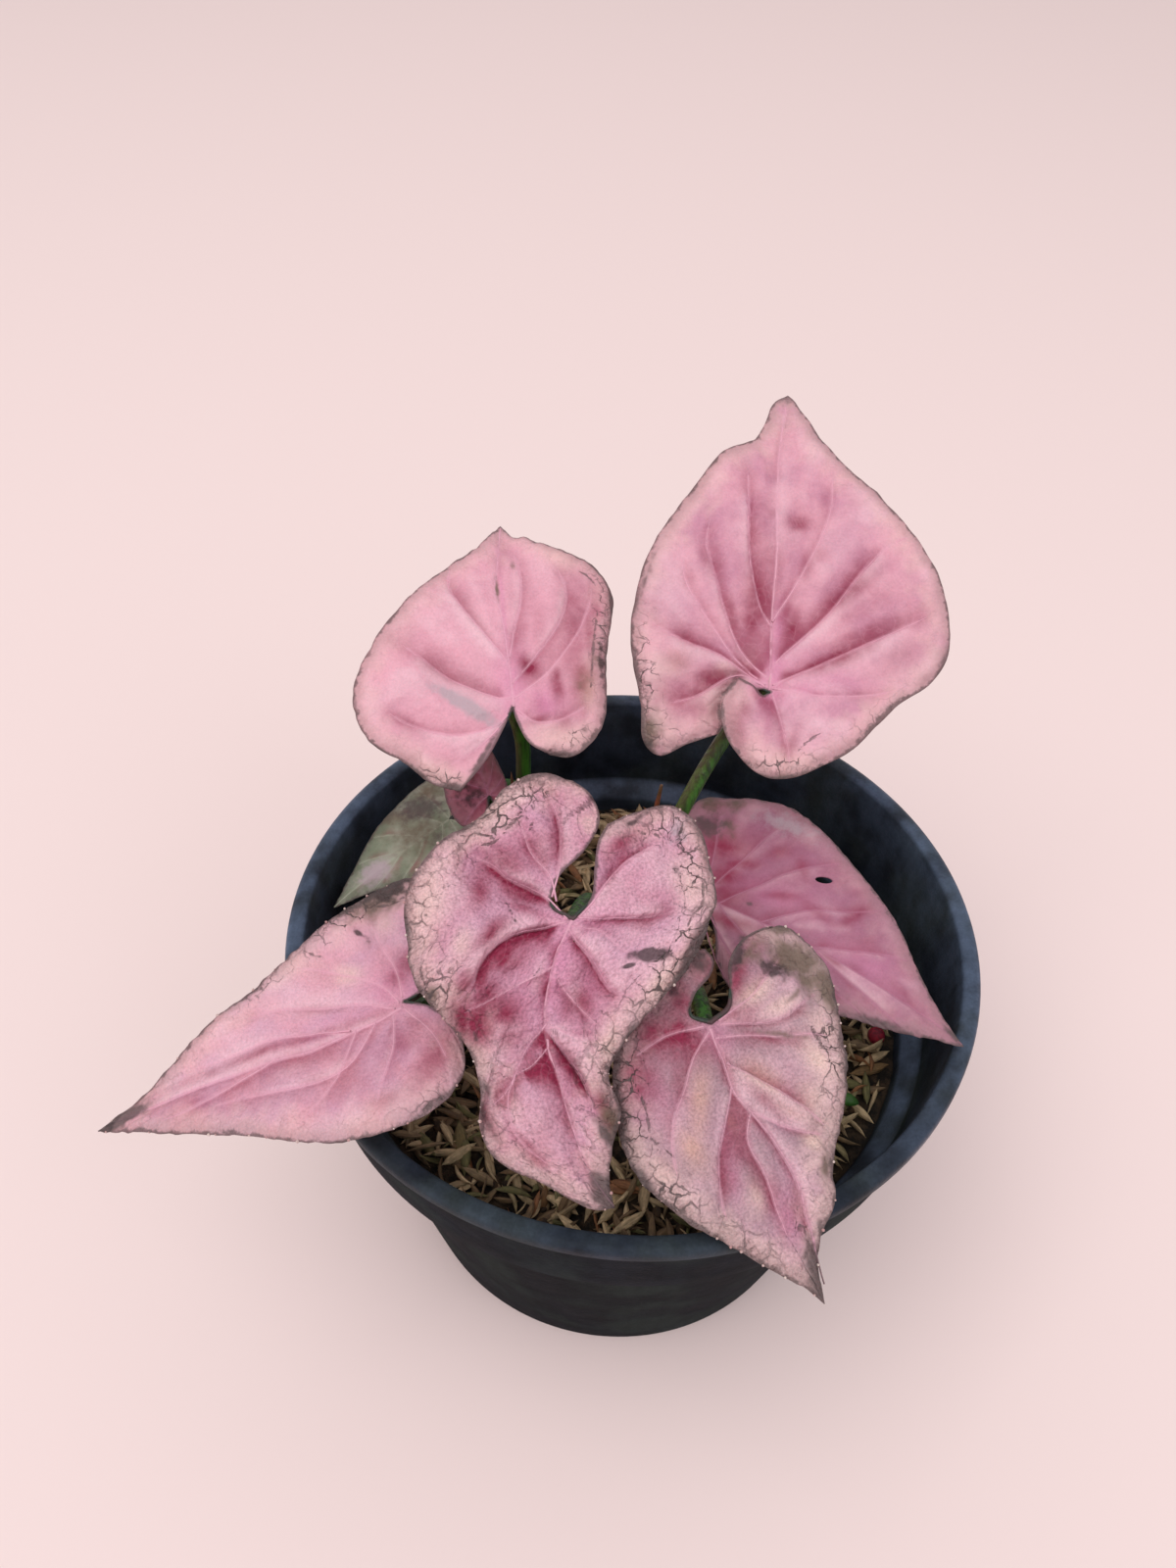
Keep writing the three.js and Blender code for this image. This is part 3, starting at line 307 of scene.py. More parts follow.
            (-25, 0.5), (-23.5, 3), (-25.5, 8)), ((11.5, -5), (10.5, -1)), ((6, -20.5), (4.6, -19.4),
            (5.4, -18)), ((23, 9), (26, 5), (25, 1)), ((-15, -15), (-21, -13), (-25, -9)), ((-11, 25),
            (-10, 31), (-9, 36))),
        hollows=((18, -11, 5, 2), (10, -6, 4.5, 1.6), (13, 11, 6, 2.2), (-6, 12, 5, 1.4), (4, 20, 4, 1.8),
            (-4, 24, 4, 1.8), (14, -16, 5, 1.4), (-13, 2, 6, -1.2), (20, 2, 6, -1.6), (3, 35, 6, -1.4),
            (9, -5, 2.6, 1), (8, 7, 2.4, 0.9), (12, 12, 2.8, 1), (-5, 11, 2.4, 0.8), (2.4, 21, 2, 0.9),
            (-3, 24, 2, 0.8), (-11, 1, 2.6, 0.7), (17, -11, 2.6, 0.8), (23, -3, 4, -0.8),
            (-18, 13, 3.4, -0.6), (22, 8, 3, 0.7)),
        puff=1.25, crackle=1, crackle_reach=11, depth=1.25, flesh="rose", second="lilac", warmth=1,
        collar=(0.42, 0.2),
        magenta=((15.2, -9.7, 2, 3, 0.5), (16.3, 9.3, 1.8, 3, 0.8, 10), (10.8, 5.3, 1.8, 3, 1.2, -30),
            (3.3, 36.6, 3, 4, 0.25), (11.5, 10.5, 2, 2.8, 0.9), (8.5, 6.5, 2.4, 4.5, 0.6, -50),
            (12.5, 11.5, 2.4, 4.5, 0.8, 5), (14.6, 0.6, 1.9, 3.4, 0.9, -45), (16, 15, 2.4, 4.5, 1, 20),
            (10.6, -13, 2.6, 3.8, 0.8, 60), (12.4, 32.5, 1.3, 5, 0.8, 15), (16, -8.5, 2.2, 4.2, 0.8),
            (8, -6, 2, 4.4, 0.8, 64), (8.5, -3.5, 1.2, 3.6, 0.7, 60), (5, -14, 3, 3.4, 0.5, 70),
            (12.5, 16, 3, 4.6, 1.1, 25), (7, 19.5, 2.2, 2.8, 0.6, 60), (-12, -13.5, 1.8, 5.4, 0.75, -61),
            (-8.4, 35, 1.5, 5, 1, 5), (13.5, 8, 1.8, 3.8, 0.9, 6), (8.5, 15, 2.6, 4.2, 1, 70),
            (8.5, 3.5, 1.8, 4.4, 0.5, -59), (-6.5, 15.5, 2, 5.4, 0.6, 12), (-3.5, 16.5, 2, 2.8, 0.4, 30),
            (0.5, 21.5, 1.6, 2, 0.6, 46), (2.5, 25, 1.4, 2.4, 0.7, 39), (-3.5, 25, 1.5, 2.6, 0.75, 48),
            (-6.5, 30, 1.3, 3.4, 0.3, 25), (15.5, 11.5, 1.3, 3.2, 0.65, 23),
            (0, -14.5, 0.9, 7.3, 0.5, -5), (-9, -11.5, 1.1, 3.8, 0.5, -49), (6.5, 38, 0.8, 2, 0.6, 28)),
        heart=((0, 8.5, 3.6, 8, 0.85, 5), (4, 1.5, 3, 4, 0.7, -61), (-6.5, 0, 2.6, 5.4, 0.65, 83),
            (3, 12.5, 4, 4.4, 0.5, 21), (-7.5, 11.5, 3, 4, 0.5, 3), (-13, -8, 3, 6, 0.4, 50)),
        pale=((3.5, -13.2, 1.3, 3, 0.6), (-0.9, 21.2, 1, 2.2, 0.7), (-4.7, 13.7, 1.4, 3, 0.7, 20),
            (-21.5, 0, 2.6, 5, 0.5), (-15.2, 18.3, 1.6, 2.4, 0.5), (3, 9.5, 1.2, 3.4, 0.6),
            (13.5, 4, 1.9, 4, 0.85, -34), (19.5, 1.5, 2.4, 3.4, 0.6, 24), (5, 35, 4.5, 8, 0.5, 35),
            (-14.5, 12.5, 4, 3, 0.5, 64), (-17, -9, 4, 4.6, 0.45, 29), (-13, 3, 4, 4, 0.35)),
        cream=((26, -6.5, 3.6, 7, 0.6, -21), (21, 11, 2.8, 3.4, 0.5, 35), (-20.5, 14, 2.6, 4, 0.7, -48),
            (-23, -4, 2.8, 5, 0.6, 13), (-11, 23.5, 1.9, 3.8, 0.65, -17), (13, 22, 1.8, 3.2, 0.4, 22),
            (12, -23, 2.8, 5, 0.5, -59), (19.5, 2, 1.8, 3, 0.5, 20)),
        silver=((-22.9, -14.4, 2.4, 2.4, 0.8),),
        grey=((-6.8, 38, 1.2, 3.4, 0.9, 10), (11.7, 27.4, 1.2, 3, 0.6, 10),
            (-14.5, 23.5, 1.2, 4.4, 1, -20), (12.5, 33, 0.9, 4, 0.7, 15), (-26.5, 10, 2.6, 7, 1.5, -13),
            (-23.5, 15, 2.4, 7, 0.35, -36), (-13.5, 25, 1.4, 4.4, 0.95, -29),
            (-11, 33.5, 1.1, 3.4, 0.65, -8), (-2.2, 48.5, 2.6, 4, 1.3, -14), (-29, -3, 1, 5, 0.65, -7),
            (-27.5, -14, 1.2, 4.8, 0.6, 36), (30.5, -4, 0.8, 5.2, 0.7, 7), (25, 9.5, 0.8, 3.2, 0.75, 31),
            (-1.5, -27, 0.9, 4, 0.6, 73), (17, -20.5, 0.9, 3, 0.6, -59), (-21, -7, 0.9, 1.1, 0.75, 26)),
        dead=((-17.5, 8.5, 1.3, 4.4, 1.2, 83), (-13.5, 10, 0.5, 1.8, 1, -81),
            (-15, -17.4, 1, 4.6, 0.65, -61), (13, 18, 0.8, 3, 0.5, 30)),
        olive=((22.5, 10, 1.6, 1.8, 0.9, 61), (-9.2, 38, 2, 6.5, 1.1, 8)),
        craze=((28.5, -6.5, 2.6, 6.4, 0.6, -6), (22, 10, 3, 4.2, 0.8, 31), (10, -22, 3.8, 8.6, 0.9, -64),
            (-22.5, -10.5, 4, 9.4, 1, 15), (-21.5, 10.5, 3.8, 9, 1, -28), (-10.5, 27, 2.4, 6.2, 0.7, -15),
            (-18.5, 3.5, 2.6, 4.2, 0.5, -89))),
    "blade_left": blade_traits(
        tuft="front", slot="blade_pink", root=(-42, -37, 115), heading=199, pitch=-10, length=66,
        width=54, droop=16, fold=(8, 14), cup=(-16, 0), ripple=0.7, waves=6, tip=(-3, 64.5),
        right=((10, -12), (17, -13.5), (23, -11), (26.5, -5), (25.5, 2), (21.5, 11), (17.5, 20),
            (13.5, 29), (9.5, 38), (5, 46), (1, 54), (-1, 60)),
        left=((-12, -9.5), (-18, -8.5), (-23, -4), (-25.5, 3), (-25.5, 11), (-22, 23), (-17.5, 33),
            (-13, 42.5), (-9, 52), (-6, 59)),
        inner_right=((1, -3), (4, -7)), inner_left=((-2.5, -4.5), (-7, -7.5)), route=((-5, 0, 88),
        (-18, -12, 102), (-33, -27, 109)),
        midrib=((-1, 0.5), (-2.5, 6), (-3, 11), (-4, 21), (-4, 32), (-3.5, 41.5), (-3.5, 51.5), (-3, 62)),
        midrib_shade=1,
        veins=((0.5, (-1, 2), (2.5, 8.5), (4.5, 17), (6.5, 24.5), (7, 32)), (0.3, (0, 1), (4.5, 3.5),
            (9, 9.5), (12.5, 15.5), (14, 20)), (0.2, (1, 0.3), (7, 0.5), (13.5, 2.5), (20, 3.5)),
            (0.4, (-3, 11), (-1, 17.5), (0.5, 26.5), (0.5, 34), (1, 43)), (0.6, (-2, 2.5), (-9, 3.5),
            (-14.5, 6), (-20, 8)), (0.8, (-2.5, 6), (-9, 11.5), (-11.5, 18), (-10.5, 27), (-9, 34),
            (-8.5, 41)), (0.4, (-1.5, 0.3), (-8.5, -4), (-15, -6)), (0.5, (-3.8, 25), (-6, 35.5),
            (-7.5, 44), (-7.5, 50)), (0.3, (-2.8, 10), (-11, 14.5), (-16, 18.5), (-18, 21))),
        cracks=(((24, -8), (21, -2), (22, 4)), ((18.5, 17.5), (16.5, 17), (14.5, 14))),
        hollows=((9, 13, 6, 1.2), (-9, 14, 6, 1.2), (0, 26, 6, -0.8), (-5, 20, 3, 0.6), (4, 30, 3, 0.4),
            (-14, 4, 4, 0.5)),
        puff=0.35, depth=0.4, crackle=0.6, crackle_reach=5.5, flesh="pink", second="lilac", warmth=0.7,
        collar=(0.32, 0.2),
        magenta=((5.4, 0.7, 2, 2.6, 0.6), (-6, -1.3, 2, 2.6, 0.5), (-19.8, 5.7, 2, 3.4, 0.35),
            (7.7, -1.5, 2.4, 3, 0.6), (-9, 2, 4, 5, 0.5, 40), (-14, 12, 4, 8, 0.3),
            (7.5, -3, 2.4, 3.6, 0.9, -30), (-1.5, 24, 1.2, 22, 0.55), (-6, 23, 2.8, 18, 0.4, 4),
            (-7, 12, 2.4, 5, 0.35, 76), (-14.5, -3.5, 3.6, 8.5, 0.65, 55), (-6, 3.5, 0.7, 2.8, 0.5, 67),
            (4.5, 17.5, 0.9, 4.4, 0.35, -16), (-11.5, 18.5, 1.5, 3, 0.35, -13), (-6.5, 42, 2, 3.6, 0.4)),
        heart=((4, 2, 4.4, 6, 0.75, -20), (0, 14, 2.6, 10, 0.4)),
        pale=((-7.3, 24, 2, 4, 0.5), (6.5, 18, 3.6, 9, 0.6, -11), (1.5, 34, 3, 8, 0.5, 15),
            (-12, 25, 3, 8, 0.25)),
        cream=((9.5, 10, 2, 3, 0.7, -26), (17.5, 1, 3, 2.6, 0.5, -39), (14.5, 20, 2.6, 5, 0.35, 4),
            (-20, 5, 3, 6, 0.3)),
        grey=((21, 16.5, 1.4, 5.8, 0.8, 25), (14.5, 28.5, 1, 5.6, 0.9, 23), (9, 41, 0.6, 6, 0.65, 21),
            (-3, 59, 2.2, 6.5, 1.3, 6), (-13, 43, 0.5, 11.6, 0.75, -26), (-24.5, 15, 0.5, 7.8, 0.75, -13),
            (-22.5, -3, 0.8, 6, 0.75, 27), (26, -2, 1.6, 6, 0.9, 8)),
        olive=((14.4, 3.8, 3, 4, 0.3), (23, 1, 4.4, 9, 1, 12), (22, 9, 2, 4, 0.5, 20)),
        dead=((16, 5.5, 0.7, 2.4, 0.75, -48), (24.5, -1, 3.4, 6, 0.9, 10), (22.5, 7, 2, 5, 0.55, 20),
            (-2.5, 62, 2.4, 4, 0.8, 4)),
        craze=((21, 6.5, 5, 12, 1, 10), (13.5, 28, 2.6, 5, 0.9, 14), (-23.5, -1.5, 2.4, 4.6, 0.7, 22),
            (14.5, -1.5, 2.8, 5.4, 0.8, -80))),
    "blade_front_right": blade_traits(
        tuft="front", slot="blade_dusty", root=(16, -37, 118), heading=-61, pitch=-18, length=54,
        width=46, droop=8, lobe_droop=10, fold=(4, 4), cup=(-16, -16), ripple=0.7, waves=7, tip=(0.5, 52),
        right=((-5.5, -14), (0, -14.5), (8, -11.5), (15, -6), (20, 0.5), (22.5, 7), (24, 15),
            (23.5, 21.5), (19, 30), (13, 37), (7.5, 43.5), (3, 48.5)),
        left=((-19, -14.5), (-24, -14), (-27.5, -8), (-28, 0), (-25.5, 9), (-21.5, 18), (-16, 26),
            (-11, 32), (-8, 38), (-3.5, 42), (-1, 47)),
        inner_right=((3, -2.5), (0.5, -6), (-4, -8.5), (-5.8, -11)),
        inner_left=((-4.5, -1.5), (-6.5, -5), (-8.5, -9.5), (-13, -13)),
        route=((4, 4, 88), (9, -12, 104), (14, -27, 112)),
        midrib=((0.6, 0.6), (0.5, 4.5), (0.5, 8), (1, 13), (-0.5, 17.5), (-2.5, 24), (-3.5, 31.5),
            (-2.5, 40), (-1, 49)),
        midrib_shade=-0.8,
        veins=((0.6, (1.5, 0.3), (6.5, -0.5), (10, -0.5), (16, 1)), (-0.5, (1, 1.5), (6, 5.5), (9.5, 10),
            (13.5, 14), (16, 19), (17, 24)), (0.8, (0.9, 12), (5, 18), (8.5, 23), (11, 29.5), (11.5, 34)),
            (-0.8, (-0.5, 17.5), (2, 22), (1.5, 28), (2, 34.5), (2.5, 40)), (-0.8, (-1.5, 1), (-4, 1.5),
            (-9.5, 3), (-14, 3.5), (-20, 2), (-24, 1)), (0.5, (-1.5, 0.3), (-4.5, -0.5), (-10, -2),
            (-15, -5), (-20, -8)), (-0.3, (0.3, 3), (-6.5, 4.5), (-11.5, 6.5), (-17.5, 8), (-22, 10)),
            (1, (0.5, 8), (-4, 12.5), (-8, 16.5), (-11.5, 22), (-13, 25)), (-0.6, (-0.5, 17.5),
            (-4.5, 21.5), (-9, 24.5), (-12, 26))),
        cracks=(((18.5, 3), (17.5, 6.5), (17.5, 10), (18.5, 15), (17.5, 18), (15.5, 20.5)), ((-19, 7),
            (-19, 10.5), (-19.5, 14))),
        hollows=((8, 20, 5, 1.2), (-8, 15, 5, 1.2), (14, 8, 5, 1), (5, 14, 2.4, 0.6), (-6, 20, 2.6, 0.6),
            (1.6, 26, 2.6, 0.5), (-10, 4, 3, 0.5)),
        puff=0.7, crackle=0.9, crackle_reach=8, flesh="dusty", second="ash", warmth=0.9,
        collar=(0.55, 0.32),
        magenta=((10.4, 9, 1.8, 4, 0.4), (-5, 0, 1.6, 5, 0.6, 85), (-3, -10, 4, 5, 0.8),
            (6, -3, 4, 6, 0.6, 50), (22, 4, 3, 6, 0.4), (-8, -6, 2.6, 6, 0.9, -46), (3.5, -6, 3, 5, 0.9),
            (-3.8, 17, 1.4, 5, 0.5, 25), (-6, 1, 2.6, 4, 0.5, 60), (0.5, 9.5, 1.2, 5.6, 0.5, -9),
            (-0.5, 20, 1.7, 4.6, 0.35, 10), (3, 4, 1.3, 3, 0.55, -56), (9.5, 26.5, 1.4, 4.2, 0.5, -18),
            (1.5, 31.5, 1.3, 3.4, 0.45, -18), (-7.5, 0.5, 1.1, 2.2, 0.55, 82), (-9, 6, 0.8, 6, 0.45, 56),
            (8, 0, 4.6, 8, 1, 62), (17, 5, 5, 6, 0.75), (-14, -12, 4, 4, 0.5)),
        heart=((15, 9.5, 4.4, 6, 0.5, -8), (0.5, 36.5, 2.8, 5.4, 0.7, -21), (7, 25, 1.4, 6.2, 0.5, -14),
            (0, 3, 3, 4, 0.6)),
        pale=((-8, 12, 3, 5, 0.6, 30), (0.5, 16.5, 1.4, 4, 0.5), (-14, 9, 5, 7, 0.5, 20),
            (15, 14, 3, 6, 0.3)),
        cream=((-12.5, 19, 3, 3.6, 0.6), (-10.5, -2.5, 2.2, 4.6, 0.85, -76),
            (-14.5, 1.5, 1.6, 4, 0.75, -83), (-5, 12.5, 2.4, 4.6, 0.95, 41),
            (-16.5, 13, 2.6, 4.4, 0.85, 7), (-20.5, 7.5, 2, 3.3, 0.5, 24), (5, 31.5, 1.5, 2.4, 0.7, -4),
            (19, 22.5, 2.4, 2.8, 0.55, 36), (-9, 26.5, 1.7, 1.8, 0.9, 52)),
        peach=((8.5, 13.5, 1.9, 7.2, 0.9, -29), (12.5, 20, 2.2, 4, 0.9), (-7.5, 20, 1.3, 4.2, 0.5, 39),
            (3.5, 18, 0.9, 2, 0.5)),
        grey=((-3, -11.5, 2.4, 3.4, 0.8), (23, 10.5, 1.9, 6.4, 0.95, -15), (23, 22, 1.8, 4, 0.85, 10),
            (20.5, 29.5, 1.1, 2.8, 0.85, 40), (10.5, 42, 0.7, 10, 0.95, 44), (-0.5, 47, 2.6, 6, 1.1, -10),
            (-21, 18.5, 1, 10, 0.85, -27), (-11, 33, 1.6, 5, 0.75, -12), (-4, 41, 0.9, 2.4, 0.85, -16)),
        dead=((-16.6, -5.6, 2.2, 3.2, 0.85, 45), (-10.5, -10, 1.6, 6, 0.8, -46), (4, -8.5, 2, 4, 0.6)),
        olive=((-14.2, -9.3, 2.6, 2.6, 0.7), (-21.7, -2, 2.6, 4.5, 0.9), (-9, 31, 1.4, 3.4, 0.8, -30),
            (-22, -6, 4.2, 6.4, 1.2, 43), (-25.5, 1, 3, 5.6, 1.1), (-13.5, -10.5, 1.2, 5, 0.8, -62),
            (-22.5, -13.5, 2, 3, 1, 66), (-12.5, 6.5, 0.7, 4.8, 0.8, 64), (-18, 0.5, 0.6, 3.2, 0.7, -67)),
        craze=((20, 8, 3.6, 11, 1, -18), (19.5, 26, 2.8, 5.4, 0.9, 30), (-20.5, 12.5, 2.6, 8, 0.95, -22),
            (9, 39, 1.8, 4, 0.6, 32), (-1, 38.5, 1.6, 2.2, 0.5, 25))),
    "blade_right": blade_traits(
        tuft="front", slot="blade_shaded", root=(14.5, 4, 105), heading=-30, pitch=2, length=64, width=50,
        droop=8, fold=(12, -22), cup=(0, -20), bow=-2, ripple=0.5, waves=5, tip=(0, 62),
        right=((12, 10), (16, 15), (17.5, 24), (14, 33), (9.5, 40), (7, 47), (4.5, 54), (2, 59)),
        left=((-17, -15), (-23, -14.5), (-27, -8), (-30, 1), (-29, 9), (-26, 18), (-21, 28), (-15, 38),
            (-9, 46), (-4, 54)),
        inner_right=((2.4, 2.6), (7, 7)), inner_left=((-3, -3), (-9, -10)), route=((5, 8, 84),
        (10.5, 6.5, 96)),
        hollows=((-11, 6, 5, 1.2), (-13, 28, 5, 1), (-7, 30, 5, 0.8), (-15, 0, 4, 0.9),
            (-13, 25, 2.4, 0.5)),
        puff=0.4, crackle=0.25, crackle_reach=4, flesh="shaded", second="shaded_lilac", warmth=0.3,
        vein_tone="dull_vein", slit=(-16, 20, 0.95, 1.95, 23), collar=(0.5, 0.3),
        magenta=((-17.3, 27, 1.6, 3, 0.25), (-14, -3, 4, 6, 0.9, 30), (-7, 1, 3.2, 5, 0.9, 40),
            (3.6, 7, 1.8, 7, 0.9, 8), (-12, 2.5, 1.8, 4.4, 0.85, 26), (-3, 4, 4, 5, 0.7),
            (-17.5, 8, 1.8, 3.8, 0.6, 41), (-16, 15, 1.2, 3.2, 0.45, -48), (-8, 14.5, 1.2, 4.6, 0.6, 23),
            (-8, 23, 1.4, 5.8, 0.45, -8), (-11.5, 29.5, 1.5, 4.2, 0.6, 68),
            (0.5, 30.5, 0.8, 3.6, 0.6, -9), (-2, 46.5, 1, 3, 0.4, -13)),
        heart=((-7.5, 13.5, 3.6, 9.5, 0.5, 4), (-3, 36.5, 3.6, 8, 0.5)),
        silver=((-25, 6.5, 3, 9, 0.75),),
        cream=((3, 14, 2, 10, 0.2),),
        pale=((-15.2, 0.4, 2, 3, 0.4), (-10.9, 24.2, 2, 3, 0.3)),
        # painted shadow: the first grey patch darkens the corner that lies in the middle blade's shadow
        grey=((-17, -9, 4, 5, 0.8, 20), (5, 16.5, 1.4, 6, 0.9, 8), (-22.5, 24.5, 0.6, 9.4, 0.6, -22),
            (-0.5, 59.5, 1.4, 3.6, 0.9), (6.5, 45.5, 0.9, 7.6, 0.8, 19), (-3, 9.5, 0.7, 0.9, 0.95, -11)),
        olive=((-23, -12, 2.6, 3.6, 1, -6), (-25, -6.5, 2.2, 3, 0.9, 29),
            (-19.5, -5, 2.2, 4.4, 0.6, -49))),
    "blade_old": blade_traits(
        tuft="back", slot="blade_sage", root=(-45, 25, 99.4), heading=225, pitch=-6, length=34, width=32,
        droop=14, fold=(2, 2), cup=(-10, -10), ripple=0.5, waves=4, tip=(0, 34),
        right=((5, -11), (11, -10), (14.5, -6), (15, 0), (13.5, 6), (10.5, 14), (6, 23), (2.5, 30)),
        left=((-4, -7), (-8, -6.5), (-11, -2), (-11.5, 4), (-10, 10), (-7, 17), (-4, 24), (-1.8, 30)),
        inner_right=((1, -3), (3, -7)), inner_left=((-1, -3), (-2.5, -5.5)), route=((-29, 22, 82),
        (-37, 24.5, 92)), hollows=((5, 8, 4, 0.6), (-4, 10, 3, 0.5)), puff=0.3, crackle=0.3,
        crackle_reach=3, rays=72, rings=34, flesh="sage", second="sage_pale", warmth=0,
        vein_tone="sage_vein", lit="sage_pale", collar=(0.4, 0.3),
        silver=((0, 21.5, 3.4, 4.6, 1),),
        grey=((8, 3.5, 4.4, 7, 0.9, -40), (-2, 5, 3, 4, 0.5)),
        olive=((2, 8, 7, 8, 0.8), (9.5, 8.5, 3, 7, 0.95, -37), (10.5, 17.5, 2.4, 3.4, 0.9, -8),
            (11, -2, 4, 6, 0.9))),
    "blade_young": blade_traits(
        tuft="back", slot="blade_shaded", root=(-35, 22, 112), heading=118, pitch=26, length=26, width=22,
        droop=16, fold=(6, 6), cup=(-10, -10), ripple=0.3, waves=4, tip=(0, 25), right=((2.5, -5),
        (4.5, -2), (5, 3), (4.5, 9), (2.5, 17)),
        left=((-4, -6.5), (-8, -5), (-9.5, 0), (-9, 6), (-7, 12), (-3.5, 19)),
        inner_right=((0.8, -2.5),), inner_left=((-1.2, -3),),
        route=((-28.5, 22.5, 86), (-30, 22.5, 98), (-34, 23.8, 106)),
        puff=0.25, crackle=0.3, crackle_reach=3, rays=56, rings=28, flesh="shaded", second="pink",
        warmth=0.3, vein_tone="dull_vein", collar=(0.3, 0.3),
        # painted shade: these dead, olive and magenta patches darken the young blade, which lies in the
        # shade under the back left blade
        dead=((-4, 1, 6, 6, 0.55),),
        olive=((-2, 12, 12, 9, 0.7),),
        magenta=((-2, 6, 20, 30, 0.65),),
        grey=((0, 24, 2, 2, 0.7),)),
}


def srgb(red, green, blue):
    """A colour given 0 to 255 a channel, as the linear values that shaders take"""
    def linear(channel):
        share = channel / 255
        return share / 12.92 if share <= 0.04045 else ((share + 0.055) / 1.055) ** 2.4
    return tuple(linear(channel) for channel in (red, green, blue))


def colour_prop(name, description, *shade):
    return FloatVectorProperty(name=name, description=description, subtype="COLOR", size=3,
                               min=0, max=1, default=srgb(*shade))


def length_prop(name, description, millimetres):
    return FloatProperty(name=name, description=description, subtype="DISTANCE",
                         unit="LENGTH", default=millimetres * MM)


def power_prop(name, description, watts):
    return FloatProperty(name=name, description=description, unit="POWER", default=watts)


class BladeSettings(PropertyGroup):
    """Sizes and colours of the blades"""
    thickness: length_prop("Thickness", "How thick a blade is away from its margin", 0.5)
    vein_radius: length_prop("Midrib", "Half the width of the midrib at the notch", 0.5)
    pink: colour_prop("Pink", "Flesh of the open blades", 218, 158, 176)
    bright_pink: colour_prop("Bright pink", "Flesh of the brightest blade", 226, 164, 182)
    ash: colour_prop("Ash", "Greyer patches of the front right blade", 172, 140, 150)
    rose: colour_prop("Rose", "Flesh of the middle blade", 200, 140, 163)
    lilac: colour_prop("Lilac pink", "Cooler patches in the flesh", 208, 156, 180)
    dusty: colour_prop("Dusty mauve", "Flesh of the front right blade", 178, 140, 155)
    shaded: colour_prop("Shaded pink", "Flesh of the blades in the shade", 168, 110, 132)
    shaded_lilac: colour_prop("Shaded lilac", "Cooler shaded flesh", 164, 106, 132)
    sage: colour_prop("Sage", "Flesh of the old blade", 116, 126, 104)
    sage_pale: colour_prop("Pale sage", "Paler patches of the old blade", 158, 160, 144)
    heart: colour_prop("Heart", "Glow round the notch and along the midrib", 214, 138, 174)
    # Pale also paints the highlights on the crests, magenta the shade in the hollows and folds, and grey
    # the shade along the margin
    pale: colour_prop("Pale pink", "Crests of the puckers", 236, 194, 206)
    magenta: colour_prop("Magenta", "Hollows beside the veins", 138, 40, 70)
    peach: colour_prop("Peach", "Warm patches", 208, 164, 154)
    cream: colour_prop("Cream", "Pale warm patches towards the margin", 230, 196, 188)
    # Silver also paints a sheen, as a patch on the back left blade
    silver: colour_prop("Silver", "Shiny grey patch", 182, 162, 172)
    grey: colour_prop("Grey margin", "Dark margin and crackle", 88, 76, 76)
    olive: colour_prop("Olive", "Olive brown blotches", 104, 90, 74)
    dead: colour_prop("Dead patch", "Dried dark spots", 62, 50, 53)
    vein: colour_prop("Veins", "Pale veins", 236, 176, 196)
    dull_vein: colour_prop("Dull veins", "Veins of the shaded blades", 190, 128, 152)
    sage_vein: colour_prop("Sage veins", "Veins of the old blade", 176, 178, 160)
    underside: colour_prop("Underside", "Paler lower face", 196, 156, 156)
    collar: colour_prop("Joint", "Green rim of the notch", 36, 50, 40)


class StalkSettings(PropertyGroup):
    """Sizes and colours of the stalks"""
    radius: length_prop("Radius", "Half the width of a stalk", 1.7)
    foot_radius: length_prop("Foot radius", "Half the width of a stalk at its sheath", 2.7)
    green: colour_prop("Green", "Stalks in the light", 52, 104, 30)
    dark_green: colour_prop("Dark green", "Stalks in the shade", 26, 58, 22)
    brown: colour_prop("Brown", "Tinted side and dry sheaths", 120, 84, 62)
    shoot: colour_prop("Shoot", "Furled new shoot", 140, 72, 50)
    seedling: colour_prop("Seedling", "Small seedlings in the mix", 62, 110, 42)


class MixSettings(PropertyGroup):
    """Sizes and colours of the potting mix"""
    level: length_prop("Level", "Height of the mix above the pot's foot", 69.6)
    husks: IntProperty(name="Husks", description="How many rice husks lie on the mix",
                       default=1900, min=0)
    husk_length: length_prop("Husk length", "Length of a rice husk", 8.2)
    crumbs: IntProperty(name="Crumbs", description="How many lumps of soil lie among them",
                        default=360, min=0)
    soil: colour_prop("Soil", "Dark mix between the husks", 34, 28, 23)
    straw: colour_prop("Straw", "Pale husks", 204, 180, 142)
    bark: colour_prop("Bark", "Brown husks", 120, 98, 72)
    moss: colour_prop("Moss", "Greenish husks", 112, 108, 70)
    granule: colour_prop("Granule", "Feed granule", 168, 30, 58)


class PotSettings(PropertyGroup):
    """Sizes and colours of the nursery pot"""
    height: length_prop("Height", "Height of the pot", 100)
    rim_radius: length_prop("Rim radius", "Half the width across the rim", 75)
    base_radius: length_prop("Base radius", "Half the width of the base", 52.5)
    plastic: colour_prop("Plastic", "Black plastic", 17, 19, 23)
    # painted reflection: the bluish sheen of the sky on the rim and the ledge
    bloom: colour_prop("Bloom", "Bluish bloom on the rim and the ledge", 92, 108, 134)
    algae: colour_prop("Algae", "Greenish film in patches", 54, 62, 58)


class StageSettings(PropertyGroup):
    """The floor and the light"""
    floor: colour_prop("Floor", "Plain pale floor", 243, 223, 222)
    key: power_prop("Key light", "Power of the big soft light", 36)
    fill: power_prop("Fill light", "Power of the fill light", 4)
    sky: FloatProperty(name="Surround", description="Strength of the light all round",
                       default=0.66, min=0)


# Lines and fields of numbers

def smoothstep(low, high, value):
    share = np.clip((value - low) / (high - low), 0, 1)
    return share * share * (3 - 2 * share)


